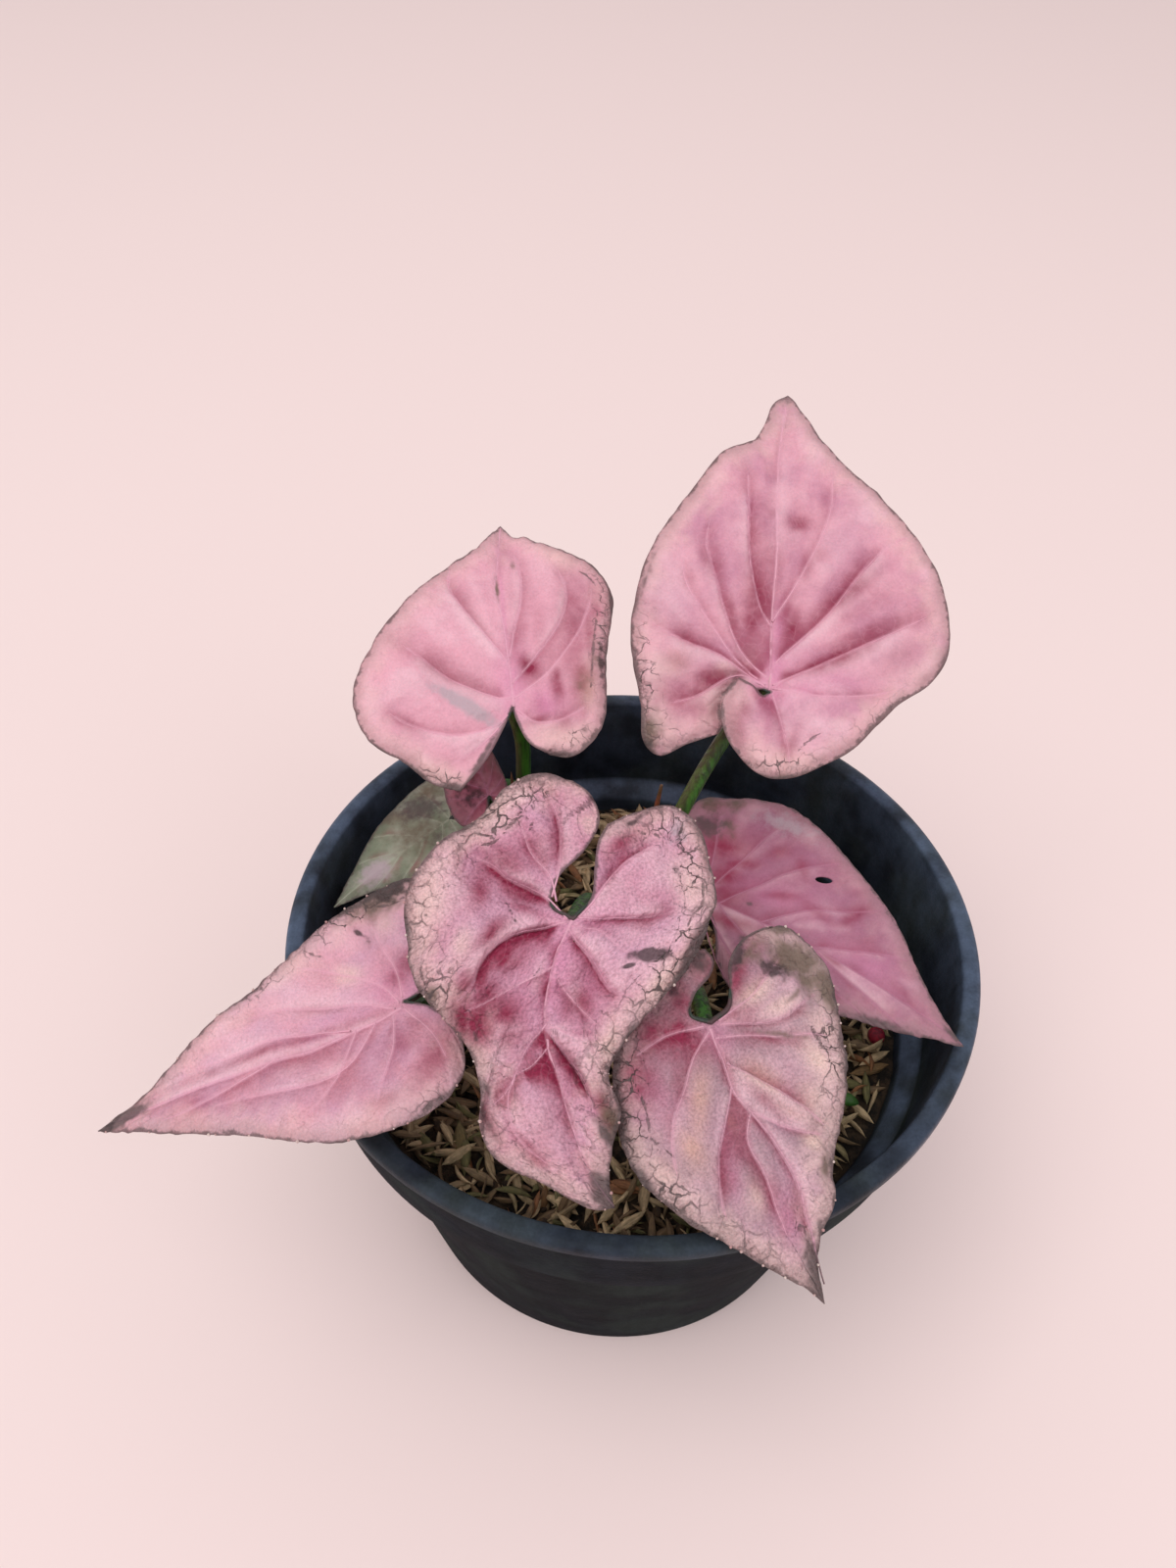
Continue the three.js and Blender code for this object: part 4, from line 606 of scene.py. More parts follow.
def unit(vectors):
    return vectors / np.maximum(np.linalg.norm(vectors, axis=-1, keepdims=True), 1e-12)


def ring_turns(count):
    """The angles of this many points spread evenly round a ring"""
    return FULL_TURN * np.arange(count) / count


def ring_rows(points, sides):
    """The ring that each point of a tube belongs to, with its two end points in the last one"""
    return np.minimum(np.arange(len(points)) // sides, (len(points) - 2) // sides - 1)


def smooth_line(points, shares):
    """Points of a centripetal Catmull-Rom line: at these shares of its length, or this many"""
    knots = np.asarray(points, float)
    ends = 2 * knots[[0, -1]] - knots[[1, -2]]
    knots = np.vstack([ends[:1], knots, ends[1:]])
    step = np.linspace(0, 1, LINE_STEPS, endpoint=False)[:, None]
    pieces = []
    for a, b, c, d in zip(knots, knots[1:], knots[2:], knots[3:]):
        ab, bc, cd = (math.sqrt(np.linalg.norm(q - p)) for p, q in ((a, b), (b, c), (c, d)))
        leave = ((b - a) / ab - (c - a) / (ab + bc) + (c - b) / bc) * bc
        arrive = ((c - b) / bc - (d - b) / (bc + cd) + (d - c) / cd) * bc
        pieces.append(b + leave * step + (3 * (c - b) - 2 * leave - arrive) * step ** 2
                      + (2 * (b - c) + leave + arrive) * step ** 3)
    line = np.vstack([*pieces, knots[-2:-1]])
    run = np.concatenate([[0], np.cumsum(np.linalg.norm(np.diff(line, axis=0), axis=1))])
    if isinstance(shares, int):
        shares = np.linspace(0, 1, shares)
    return np.stack([np.interp(shares * run[-1], run, column) for column in line.T], -1)


def lumps(x, y, size, seed):
    """Smooth random heights from -1 to 1, with a lump about every size millimetres"""
    lattice = np.random.default_rng(seed).uniform(-1, 1, (NOISE_LATTICE, NOISE_LATTICE))
    u, v = x / size, y / size
    column, row = np.floor(u).astype(int), np.floor(v).astype(int)
    u, v = smoothstep(0, 1, u - column), smoothstep(0, 1, v - row)

    def corner(across, down):
        return lattice[(column + across) % NOISE_LATTICE, (row + down) % NOISE_LATTICE]
    near = corner(0, 0) * (1 - u) + corner(1, 0) * u
    far = corner(0, 1) * (1 - u) + corner(1, 1) * u
    return near * (1 - v) + far * v


def beside_line(x, y, line):
    """Each flat point's distance to a line of points, the share of the line that it lies at,
    and its side: 1 to the left of someone who walks the line, and -1 to the right"""
    start, run = line[:-1], np.diff(line, axis=0)
    length = np.maximum((run ** 2).sum(1), 1e-9)
    best = np.full(x.shape, np.inf)
    place, side = np.zeros(x.shape), np.ones(x.shape)
    for index, ((ax, ay), (rx, ry), size) in enumerate(zip(start, run, length)):
        share = np.clip(((x - ax) * rx + (y - ay) * ry) / size, 0, 1)
        distance = (x - ax - share * rx) ** 2 + (y - ay - share * ry) ** 2
        nearer = distance < best
        best = np.where(nearer, distance, best)
        place = np.where(nearer, (index + share) / len(run), place)
        side = np.where(nearer, np.sign(rx * (y - ay) - ry * (x - ax)), side)
    return np.sqrt(best), place, side


def oval(x, y, centre_x, centre_y, half_width, half_length, turn=0):
    """How far out flat points lie along the two axes of a turned oval: 1 is on its edge"""
    c, s = math.cos(math.radians(turn)), math.sin(math.radians(turn))
    return (((x - centre_x) * c + (y - centre_y) * s) / half_width,
            (-(x - centre_x) * s + (y - centre_y) * c) / half_length)


def scattered(draw, reach):
    """A random place on the round mix"""
    radius, turn = reach * math.sqrt(draw.random()), draw.uniform(0, FULL_TURN)
    return radius * math.cos(turn), radius * math.sin(turn)


def turned(points, **angles):
    """Points turned about the named axes, the one named last coming first"""
    turn = Matrix.Identity(3)
    for axis, angle in angles.items():
        turn = turn @ Matrix.Rotation(angle, 3, axis)
    return points @ np.array(turn).T


# Meshes and materials

class Bundle:
    """Points, faces and attributes of the closed bodies that make one piece"""
    def __init__(self):
        self.points, self.faces, self.attributes, self.count = [], [], {}, 0

    def add(self, points, faces, **attributes):
        """Adds a body; an attribute has a value for each point, or one for them all"""
        self.points.append(points)
        self.faces.extend([corner + self.count for corner in face] for face in faces)
        for key, values in attributes.items():
            values = np.asarray(values, float)
            if len(points) not in values.shape[:1]:
                values = np.broadcast_to(values, (len(points), *values.shape))
            self.attributes.setdefault(key, []).append(values)
        self.count += len(points)
        return self

    def piece(self, name, slot, material=None):
        """A smooth-shaded mesh object"""
        mesh = bpy.data.meshes.new(name)
        mesh.from_pydata((np.concatenate(self.points) * MM).tolist(), [], self.faces)
        mesh.update()
        mesh.polygons.foreach_set("use_smooth", np.ones(len(mesh.polygons), bool))
        for key, parts in self.attributes.items():
            values = np.concatenate(parts).astype(np.float32)
            kind, field = ("FLOAT_VECTOR", "vector") if values.ndim == 2 else ("FLOAT", "value")
            mesh.attributes.new(key, kind, "POINT").data.foreach_set(field, values.ravel())
        if material:
            mesh.materials.append(material)
        piece = bpy.data.objects.new(name, mesh)
        bpy.context.scene.collection.objects.link(piece)
        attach(piece, BODY)
        return piece


def ring_faces(rings, sides):
    """Faces of a closed body of rings of points, whose last two points close its two ends"""
    faces = []
    for ring in range(rings - 1):
        for side in range(sides):
            a, b = ring * sides + side, ring * sides + (side + 1) % sides
            faces.append([a, b, b + sides, a + sides])
    top, first = (rings - 1) * sides, rings * sides
    for side in range(sides):
        after = (side + 1) % sides
        faces.append([first, after, side])
        faces.append([first + 1, top + side, top + after])
    return faces


def tube(line, radii, sides, spread=1):
    """Points and faces of a closed tube along a line; spread scales each ring's points"""
    tangents = unit(np.gradient(line, axis=0))
    across = np.array([0.31, 0.92, 0.24])
    turns, points = ring_turns(sides), []
    scales = np.broadcast_to(radii[:, None] * spread, (len(line), sides))
    for centre, tangent, scale in zip(line, tangents, scales):
        across = unit(across - tangent * (across @ tangent))
        third = np.cross(tangent, across)
        points.append(centre + (np.cos(turns) * scale)[:, None] * across
                      + (np.sin(turns) * scale)[:, None] * third)
    points += [line[:1] - tangents[0] * radii[0] * 0.5, line[-1:] + tangents[-1] * radii[-1] * 0.5]
    return np.vstack(points), ring_faces(len(line), sides)


def lathe(profile, segments, wobble=None):
    """A closed body turned round +Z: the profile's first and last points lie on the axis"""
    turns = ring_turns(segments)
    rings = np.asarray(profile[1:-1], float)
    radius = rings[:, :1] * (np.ones(segments) if wobble is None else wobble(turns))
    points = np.stack([radius * np.cos(turns), radius * np.sin(turns),
                       np.broadcast_to(rings[:, 1:], radius.shape)], -1).reshape(-1, 3)
    points = np.vstack([points, [[0, 0, profile[0][1]], [0, 0, profile[-1][1]]]])
    return points, ring_faces(len(rings), segments)


class Field:
    """An output of one of a recipe's nodes, with the sums that can be done with it"""
    def __init__(self, recipe, socket):
        self.recipe, self.socket = recipe, socket

    def maths(self, operation, other, **settings):
        return self.recipe.node("ShaderNodeMath", {0: self, 1: other}, operation=operation,
                                **settings)

    def __add__(self, other):
        return self.maths("ADD", other)

    def __sub__(self, other):
        return self.maths("SUBTRACT", other)

    def __mul__(self, other):
        return self.maths("MULTIPLY", other)

    def __truediv__(self, other):
        return self.maths("DIVIDE", other)

    def most(self, other):
        return self.maths("MAXIMUM", other)

    def fade(self, low, high, start=0.0, end=1.0):
        """Start up to low, end from high on, and smooth between them"""
        if low > high:
            low, high, start, end = high, low, end, start
        return self.recipe.node("ShaderNodeMapRange", {0: self, 1: low, 2: high, 3: start, 4: end},
                                interpolation_type="SMOOTHSTEP")


class Recipe:
    """Nodes of one procedural material, whose colour is laid on bit by bit"""
    def __init__(self, name, colour, **surface):
        self.material, self.colour = bpy.data.materials.new(name), colour
        self.material.use_nodes = True
        self.tree = self.material.node_tree
        self.dress(Base_Color=colour, **surface)

    def dress(self, **surface):
        """Feeds the surface's inputs, whose names are written with _ for a space"""
        for name, value in surface.items():
            self.feed(self.tree.nodes["Principled BSDF"].inputs[name.replace("_", " ")], value)

    def feed(self, socket, value):
        if isinstance(value, Field):
            self.tree.links.new(value.socket, socket)
        elif socket.type == "RGBA":
            socket.default_value = (*value, 1)
        else:
            socket.default_value = value

    def node(self, kind, sockets, output=0, **settings):
        """A new node with its inputs fed, as the field of one of its outputs"""
        node = self.tree.nodes.new(kind)
        for key, value in settings.items():
            setattr(node, key, value)
        for key, value in sockets.items():
            self.feed(node.inputs[key], value)
        return Field(self, node.outputs[output])

    def attribute(self, name, output="Fac"):
        return self.node("ShaderNodeAttribute", {}, output, attribute_name=name)

    def place(self):
        """Object coordinates in millimetres"""
        metres = self.node("ShaderNodeTexCoord", {}, "Object")
        return self.node("ShaderNodeVectorMath", {0: metres, 3: 1 / MM}, operation="SCALE")

    def stretched(self, vector, scales):
        return self.node("ShaderNodeVectorMath", {0: vector, 1: scales}, operation="MULTIPLY")

    def mix(self, share, first, second, blend="MIX"):
        return self.node("ShaderNodeMix", {0: share, 6: first, 7: second}, 2, data_type="RGBA",
                         blend_type=blend)

    def noise(self, vector, scale, detail=3.0, rough=0.5, output=0):
        return self.node("ShaderNodeTexNoise", {"Vector": vector, "Scale": scale,
                         "Detail": detail, "Roughness": rough}, output)

    def wander(self, vector, scale, reach):
        """The coordinates pushed about by noise, so that what follows them looks grown"""
        push = self.noise(vector, scale, 2.0, output=1)
        return self.node("ShaderNodeVectorMath", {0: push, 1: (reach,) * 3, 2: vector},
                         operation="MULTIPLY_ADD")

    def cells(self, vector, scale, feature="DISTANCE_TO_EDGE"):
        return self.node("ShaderNodeTexVoronoi", {"Vector": vector, "Scale": scale}, "Distance",
                         feature=feature)

    def tinted(self, colour, noise, spread):
        """A colour darkened and lightened by up to spread as the noise rises"""
        return self.mix(1.0, colour, noise.fade(0.25, 0.75, 1 - spread, 1 + spread), "MULTIPLY")

    def tint(self, noise, spread):
        self.colour = self.tinted(self.colour, noise, spread)

    def lay(self, share, colour):
        """Lays a share of another colour over what there is so far"""
        self.colour = self.mix(share, self.colour, colour)

    def bump(self, height, depth, **onto):
        """Relief of a depth in millimetres, with Normal=field onto another relief"""
        return self.node("ShaderNodeBump", {"Height": height, "Distance": depth * MM,
                                            "Strength": 1.0, **onto})

    def finish(self, normal, roughness):
        self.dress(Base_Color=self.colour, Normal=normal, Roughness=roughness)
        return self.material


# Blades

def blade_axes(blade):
    """The blade's own directions: across to its right, along to its tip, up out of its face"""
    h, p, r = (math.radians(blade[key]) for key in ("heading", "pitch", "roll"))
    along = np.array([math.cos(h) * math.cos(p), math.sin(h) * math.cos(p), math.sin(p)])
    level = np.array([math.sin(h), -math.cos(h), 0])
    upright = np.cross(level, along)
    across = level * math.cos(r) - upright * math.sin(r)
    return across, along, upright * math.cos(r) + level * math.sin(r)


def bent(blade, x, y, lift=0.0):
    """Where flat points of a blade lie once the blade is bent"""
    x, y = np.asarray(x, float), np.asarray(y, float)
    length = blade["length"]

    def slope(distance):
        share = distance / length
        curl = np.maximum(0, (share - TIP_CURL_FROM) / (1 - TIP_CURL_FROM)) ** 2
        ahead = -blade["droop"] * share - blade["tip_curl"] * curl
        return np.radians(np.where(distance > 0, ahead, -blade["lobe_droop"] * share / LOBE_REACH))
    tip_share = np.maximum(0, y / length)
    bowed = x + blade["bow"] * 4 * tip_share * (1 - tip_share)
    fold, cup = (np.where(bowed > 0, blade[key][1], blade[key][0]) for key in ("fold", "cup"))
    share = (np.arange(BEND_STEPS) + 0.5) / BEND_STEPS
    climb_angle = slope(y[..., None] * share)
    reach = np.abs(bowed)[..., None] * share
    lean = np.radians(fold[..., None] * np.minimum(1, reach / FOLD_START)
                      + cup[..., None] * reach / (blade["width"] / 2))
    forward, climb = np.cos(climb_angle).mean(-1) * y, np.sin(climb_angle).mean(-1) * y
    outward = np.cos(lean).mean(-1) * bowed
    rise = np.sin(lean).mean(-1) * np.abs(bowed) + lift
    for hollow_x, hollow_y, radius, depth in blade["hollows"]:
        rise = rise - depth * np.exp(-((x - hollow_x) ** 2 + (y - hollow_y) ** 2) / radius ** 2)
    across, along, up = blade_axes(blade)
    tilt = slope(y)
    return (np.array(blade["root"]) + outward[..., None] * across
            + (forward - rise * np.sin(tilt))[..., None] * along
            + (climb + rise * np.cos(tilt))[..., None] * up)


def swung(x, y, inner, straight, pull):
    """Turns flat points about the notch, so that a lobe's last ray follows its inner edge"""
    turn = np.arctan2(inner[:, 1], inner[:, 0]) - np.arctan2(straight[:, 1], straight[:, 0])
    turn = np.arctan2(np.sin(turn), np.cos(turn))
    stretch = np.hypot(*inner.T) / np.hypot(*straight.T)
    angle = np.arctan2(y, x) + pull[:, None] * turn
    radius = np.hypot(x, y) * (1 + pull[:, None] * (stretch - 1))
    return radius * np.cos(angle), radius * np.sin(angle)


def vein_lines(blade, margins):
    """The midrib and the side veins: lines of flat points, widths as shares, and shades"""
    length = blade["tip"][1]
    shares = np.linspace(0, 1, VEIN_STEPS)[:, None]
    if "veins" in blade:
        return [(smooth_line(blade["midrib"], VEIN_STEPS), 1.0, blade["midrib_shade"]),
                *((smooth_line(vein, shares[::2, 0]), SIDE_VEIN, shade)
                  for shade, *vein in blade["veins"])]
    veins = [(shares * np.array([blade["tip"][0], length]) * MIDRIB_REACH, 1.0, PLAIN_SHADE[0])]
    for margin in margins:
        for start, end in zip(VEIN_STARTS, VEIN_ENDS):
            foot = np.array([0.0, start * length])
            head = margin[int(end * (len(margin) - 1))]
            head = foot + (head - foot) * VEIN_REACH
            knee = foot + (head - foot) * VEIN_BOW
            line = (1 - shares) ** 2 * foot + 2 * shares * (1 - shares) * knee + shares ** 2 * head
            veins.append((line, SIDE_VEIN, PLAIN_SHADE[1] * (-1 if line[-1, 0] > 0 else 1)))
    return veins


def stain_and_shade_layers(blade, x, y):
    """How strongly each colour is laid on each flat point, from soft turned ovals"""
    layers = {}
    for name in STAIN_AND_SHADE_LAYERS:
        layers[name] = np.zeros(x.shape)
        for middle_x, middle_y, half_width, half_length, strength, *turn in blade.get(name, ()):
            u, v = oval(x, y, middle_x, middle_y, half_width, half_length, *turn)
            layers[name] = np.maximum(layers[name], strength * np.exp(-(u * u + v * v)))
    return layers


def with_notch(notch, values):
    """A value or a point at the notch, and then those of a sheet's rays from the first on"""
    return np.concatenate([[notch], np.reshape(values, (-1, *np.shape(notch)))])


class BladeSheet:
    """The fine sheet of one blade, before it gets its thickness"""
    def __init__(self, name, blade):
        self.blade, self.seed = blade, sum(map(ord, name))
        count, rings = 2 * blade["rays"], np.linspace(0, 1, blade["rings"] + 1)[1:]
        around = np.arange(count + 1) / count
        self.x, self.y = self.lay_out(around, rings)
        self.torn = np.zeros((count, len(rings) - 1), bool)
        if "slit" in blade:
            self.tear()
        self.measure()
        lifted = bent(blade, self.x, self.y, self.relief(rings, around))
        self.points = with_notch(bent(blade, 0.0, 0.0), lifted)
        self.grid = self.points[1:].reshape(*self.x.shape, 3)
        self.faces = [list(corners) for ray, ring, corners in self.cells(range(count))
                      if ring is None or not self.torn[ray, ring]]
        self.normals = self.find_normals()
        self.half_trees = [self.flat_tree(half) for half in (0, 1)]

    def lay_out(self, around, rings):
        """Flat points on rays from the notch to the worn margin, with the lobes' inner edges"""
        blade = self.blade
        right = smooth_line((*blade["right"], blade["tip"]), np.minimum(1, 2 * around))
        left = smooth_line((*blade["left"], blade["tip"]), np.minimum(1, 2 - 2 * around))
        margin = np.where((around <= 0.5)[:, None], right, left)
        wear = sum(lumps(turns * around, 0 * around, 1.3, self.seed) for turns in (60, 170))
        worn = np.where(rings > 0.9, (1 - MARGIN_WEAR * (2 + wear))[:, None], 1)
        x, y = (margin[:, k:k + 1] * rings * worn for k in (0, 1))
        blend = blade["sinus_blend"]
        pulls = (1 - smoothstep(0, blend, around), smoothstep(1 - blend, 1, around))
        for side, pull in zip(("right", "left"), pulls):
            end = np.array(blade[side][0], float)
            inner = smooth_line(((0, 0), *blade["inner_" + side], blade[side][0]), rings)
            x, y = swung(x, y, inner, end * rings[:, None], pull)
        return x, y

    def tear(self):
        """A small torn slit: its cells go, and the points round it move onto its edge"""
        slit = self.blade["slit"]
        reach = np.hypot(*oval(self.x, self.y, *slit))
        self.torn = (reach[:-1, :-1] + reach[1:, :-1] + reach[:-1, 1:] + reach[1:, 1:]) / 4 < 1
        rays, rings = self.torn.shape
        beside = np.zeros(reach.shape, bool)
        for across in (0, 1):
            for down in (0, 1):
                beside[across:across + rays, down:down + rings] |= self.torn
        scale = np.where(beside & (reach > 0.3), 1 / np.maximum(reach, 0.3), 1)
        self.x, self.y = (middle + (value - middle) * scale
                          for middle, value in zip(slit, (self.x, self.y)))

    def measure(self):
        """Finds the veins, and each point's way to them, the margin, the notch and the cracks"""
        x, y, rays = self.x, self.y, self.blade["rays"]
        outline = np.stack([x[:, -1], y[:, -1]], -1)
        self.veins = vein_lines(self.blade, (outline[:rays + 1], outline[:rays - 1:-1]))
        self.rim, place, _ = beside_line(x, y, outline[::2])
        perimeter = np.linalg.norm(np.diff(outline, axis=0), axis=1).sum()
        self.shore = np.stack([place * perimeter, self.rim, 0 * x], -1)
        edges = (with_notch((0, 0), np.stack([x[ray], y[ray]], -1)) for ray in (0, -1))
        right_half = np.arange(len(x))[:, None] < rays
        self.inner = np.where(right_half, *(beside_line(x, y, edge[::2])[0] for edge in edges))
        self.nearest, self.shade = np.full(x.shape, np.inf), np.zeros(x.shape)
        for line, _, shade in self.veins:
            distance, place, side = beside_line(x, y, line[::2])
            if "overlap" in self.blade:
                behind = (y < LOBE_LENGTH) & (right_half != (line[-1, 0] > 0))
                distance = np.where(behind, FAR_AWAY, distance)
            self.nearest = np.minimum(self.nearest, distance)
            ends = smoothstep(0, 0.12, place) * (1 - smoothstep(0.75, 1, place))
            fold = np.exp(-distance / SHADE_REACH) * smoothstep(0, 0.5, distance)
            self.shade += shade * side * ends * fold
        self.shade = np.clip(self.shade, -SHADE_LIMIT, SHADE_LIMIT)
        self.crack = np.full(x.shape, FAR_AWAY)
        for crack in self.blade["cracks"]:
            self.crack = np.minimum(self.crack, beside_line(x, y, smooth_line(crack, 12))[0])

    def relief(self, rings, around):
        """How far each point stands out of the plainly bent blade"""
        blade, x, y = self.blade, self.x, self.y
        lift = blade["ripple"] * rings ** 3 * np.sin(FULL_TURN * blade["waves"] * around)[:, None]
        out = np.hypot(x, y)
        if "overlap" in blade:
            raise_right, sink_left = blade["overlap"]
            right_lift = 1 - smoothstep(0, LIFT_BLEND, around)[:, None]
            left_lift = smoothstep(1 - LIFT_BLEND, 1, around)[:, None]
            lift = lift + smoothstep(LIFT_NEAR, LIFT_FAR, out) * (
                raise_right * right_lift - sink_left * left_lift)
        settled = smoothstep(0, 5, out) * smoothstep(0, 3.5, np.minimum(self.rim, self.inner))
        pillow = (PILLOW_RISE * (1 - np.exp(-(self.nearest / PILLOW_REACH) ** 2))
                  - GROOVE_DEPTH * np.exp(-self.nearest / GROOVE_REACH) - GROOVE_DEPTH)
        for number, (rise, size) in enumerate(PUCKERS, 1):
            pillow = pillow + rise * lumps(x, y, size, self.seed + number)
        self.height = settled * (pillow - SHADE_DEPTH * self.shade)
        lift = lift + blade["puff"] * self.height
        edge_wave = lumps(220 * around, 0 * around, 1.7, self.seed + len(PUCKERS) + 1)[:, None]
        lift = lift + 0.5 * blade["crackle"] * (1 - smoothstep(0, 5, self.rim)) * edge_wave
        return lift - 0.5 * (1 - smoothstep(0, 2, self.rim))

    def cells(self, rays):
        """The corners of the cells along these rays, with their ray and their ring"""
        width = self.x.shape[1]
        for ray in rays:
            first, second = 1 + ray * width, 1 + (ray + 1) * width
            yield ray, None, (0, first, second)
            for ring in range(width - 1):
                yield ray, ring, (first + ring, first + ring + 1, second + ring + 1, second + ring)

    def find_normals(self):
        """Normals that point out of the upper side; the notch is a triangle's fourth corner"""
        corners = np.array([[*face, 0][:4] for face in self.faces])
        a, b, c, d = (self.points[corners[:, k]] for k in range(4))
        normal = np.cross(c - a, d - b)
        flat = corners[:, 3] == 0
        normal[flat] = np.cross(b[flat] - a[flat], c[flat] - a[flat])
        total = np.zeros(self.points.shape)
        for k in range(4):
            np.add.at(total, corners[:, k], normal)
        normals = unit(total)
        return normals if normals[0] @ blade_axes(self.blade)[2] > 0 else -normals

    def flat_tree(self, half):
        """Finds the place on the bent sheet of a flat point, within one half of the blade"""
        rays = len(self.x)
        flat = with_notch((0, 0, 0), np.stack([self.x, self.y, 0 * self.x], -1))
        triangles = []
        span = range(rays // 2, rays - 1) if half else range(rays // 2)
        for _, _, (a, b, c, *last) in self.cells(span):
            triangles.append((a, b, c))
            if last:
                triangles.append((a, c, *last))
        return BVHTree.FromPolygons(flat.tolist(), triangles), triangles, flat

    def on_sheet(self, x, y, half=None):
        """The bent place and the normal at a flat point, in the half it lies in or a named one"""
        tree, triangles, flat = self.half_trees[int(x < 0) if half is None else half]
        spot = Vector((x, y, 0))
        corners = triangles[tree.find_nearest(spot)[2]]
        place = barycentric_transform(spot, *(Vector(flat[corner]) for corner in corners),
                                      *(Vector(self.points[corner]) for corner in corners))
        return np.array(place), self.normals[corners[0]]


def thickened(sheet, full):
    """A sheet's upper and lower side and rounded border: points, faces, and the sheet's own
    point that each of them comes from"""
    count = len(sheet.points)
    rim = with_notch(0.0, np.minimum(sheet.rim, sheet.inner))
    thickness = (full * (0.5 + 0.5 * smoothstep(0, FULL_THICKNESS_FROM, rim)))[:, None]
    half = sheet.normals * (thickness / 2)
    used = np.zeros(count, bool)
    used[[corner for face in sheet.faces for corner in face]] = True
    directed = {(a, b) for face in sheet.faces for a, b in zip(face, [*face[1:], face[0]])}
    border = [(a, b) for a, b in sorted(directed) if (b, a) not in directed]
    outward = np.zeros(sheet.points.shape)
    for a, b in border:
        push = np.cross(sheet.points[b] - sheet.points[a], sheet.normals[a])
        outward[a] += push
        outward[b] += push
    first, second, third, *_ = sheet.faces[5]
    towards = np.cross(sheet.points[second] - sheet.points[first],
                       sheet.points[third] - sheet.points[first])
    facing_up = towards @ sheet.normals[first] > 0
    outward = unit(outward) * (1 if facing_up else -1) * (BORDER_ROUNDING * thickness)
    border_points = sorted({a for a, _ in border})
    middle = {corner: 2 * count + i for i, corner in enumerate(border_points)}
    points = np.vstack([sheet.points + half, sheet.points - half,
                        (sheet.points + outward)[border_points]])
    faces = [face if facing_up else face[::-1] for face in sheet.faces]
    faces += [[corner + count for corner in face[::-1]] for face in faces]
    for a, b in border:
        if not facing_up:
            a, b = b, a
        faces.append([b, a, middle[a], middle[b]])
        faces.append([middle[b], middle[a], a + count, b + count])
    keep = np.concatenate([used, used, np.ones(len(border_points), bool)])
    renumber = np.cumsum(keep) - 1
    rows = np.concatenate([np.arange(count), np.arange(count), border_points])[keep]
    under = (np.arange(len(points)) // count == 1)[keep]
    return points[keep], [[int(renumber[corner]) for corner in face] for face in faces], rows, under


def thick_blade(sheet, settings):
    """The sheet with its thickness, its rounded margin and its veins, as one bundle"""
    blade, full = sheet.blade, settings.thickness / MM
    x, y = sheet.x.ravel(), sheet.y.ravel()
    fields = stain_and_shade_layers(blade, x, y)
    for key in ("rim", "inner", "nearest", "crack", "height", "shade"):
        fields[key] = getattr(sheet, key)
    fields = {key: with_notch(0.0, values) for key, values in fields.items()}
    fields["flat"] = with_notch((0, 0, 0), np.stack([x, y, 0 * x], -1))
    fields["shore"] = with_notch((0, FAR_AWAY, 0), sheet.shore)
    points, faces, rows, under = thickened(sheet, full)
    bundle = Bundle().add(points, faces, vein=0, under=under,
                          **{key: values[rows] for key, values in fields.items()})
    for line, width, _ in sheet.veins:
        half_blade = None if width == 1 else int(line[-1, 0] < 0)
        found = [sheet.on_sheet(*spot, half_blade) for spot in line]
        spots, normals = (np.array(part) for part in zip(*found))
        taper = np.linspace(1, VEIN_TAPER, len(line))
        radii = settings.vein_radius / MM * width * taper
        sunk = radii - full * 0.5 - VEIN_RELIEF * taper
        points, faces = tube(spots - normals * sunk[:, None], radii, VEIN_SIDES)
        rows = ring_rows(points, VEIN_SIDES)
        below = ((points - spots[rows]) * normals[rows]).sum(1) < -UNDER_FROM
        bundle.add(points, faces, rim=FAR_AWAY, inner=FAR_AWAY, crack=FAR_AWAY, nearest=0, height=0,
                   shade=0, vein=1, under=below, shore=(0, FAR_AWAY, 0),
                   flat=np.column_stack([line[rows], np.zeros(len(rows))]),
                   **stain_and_shade_layers(blade, *line[rows].T))
    return bundle


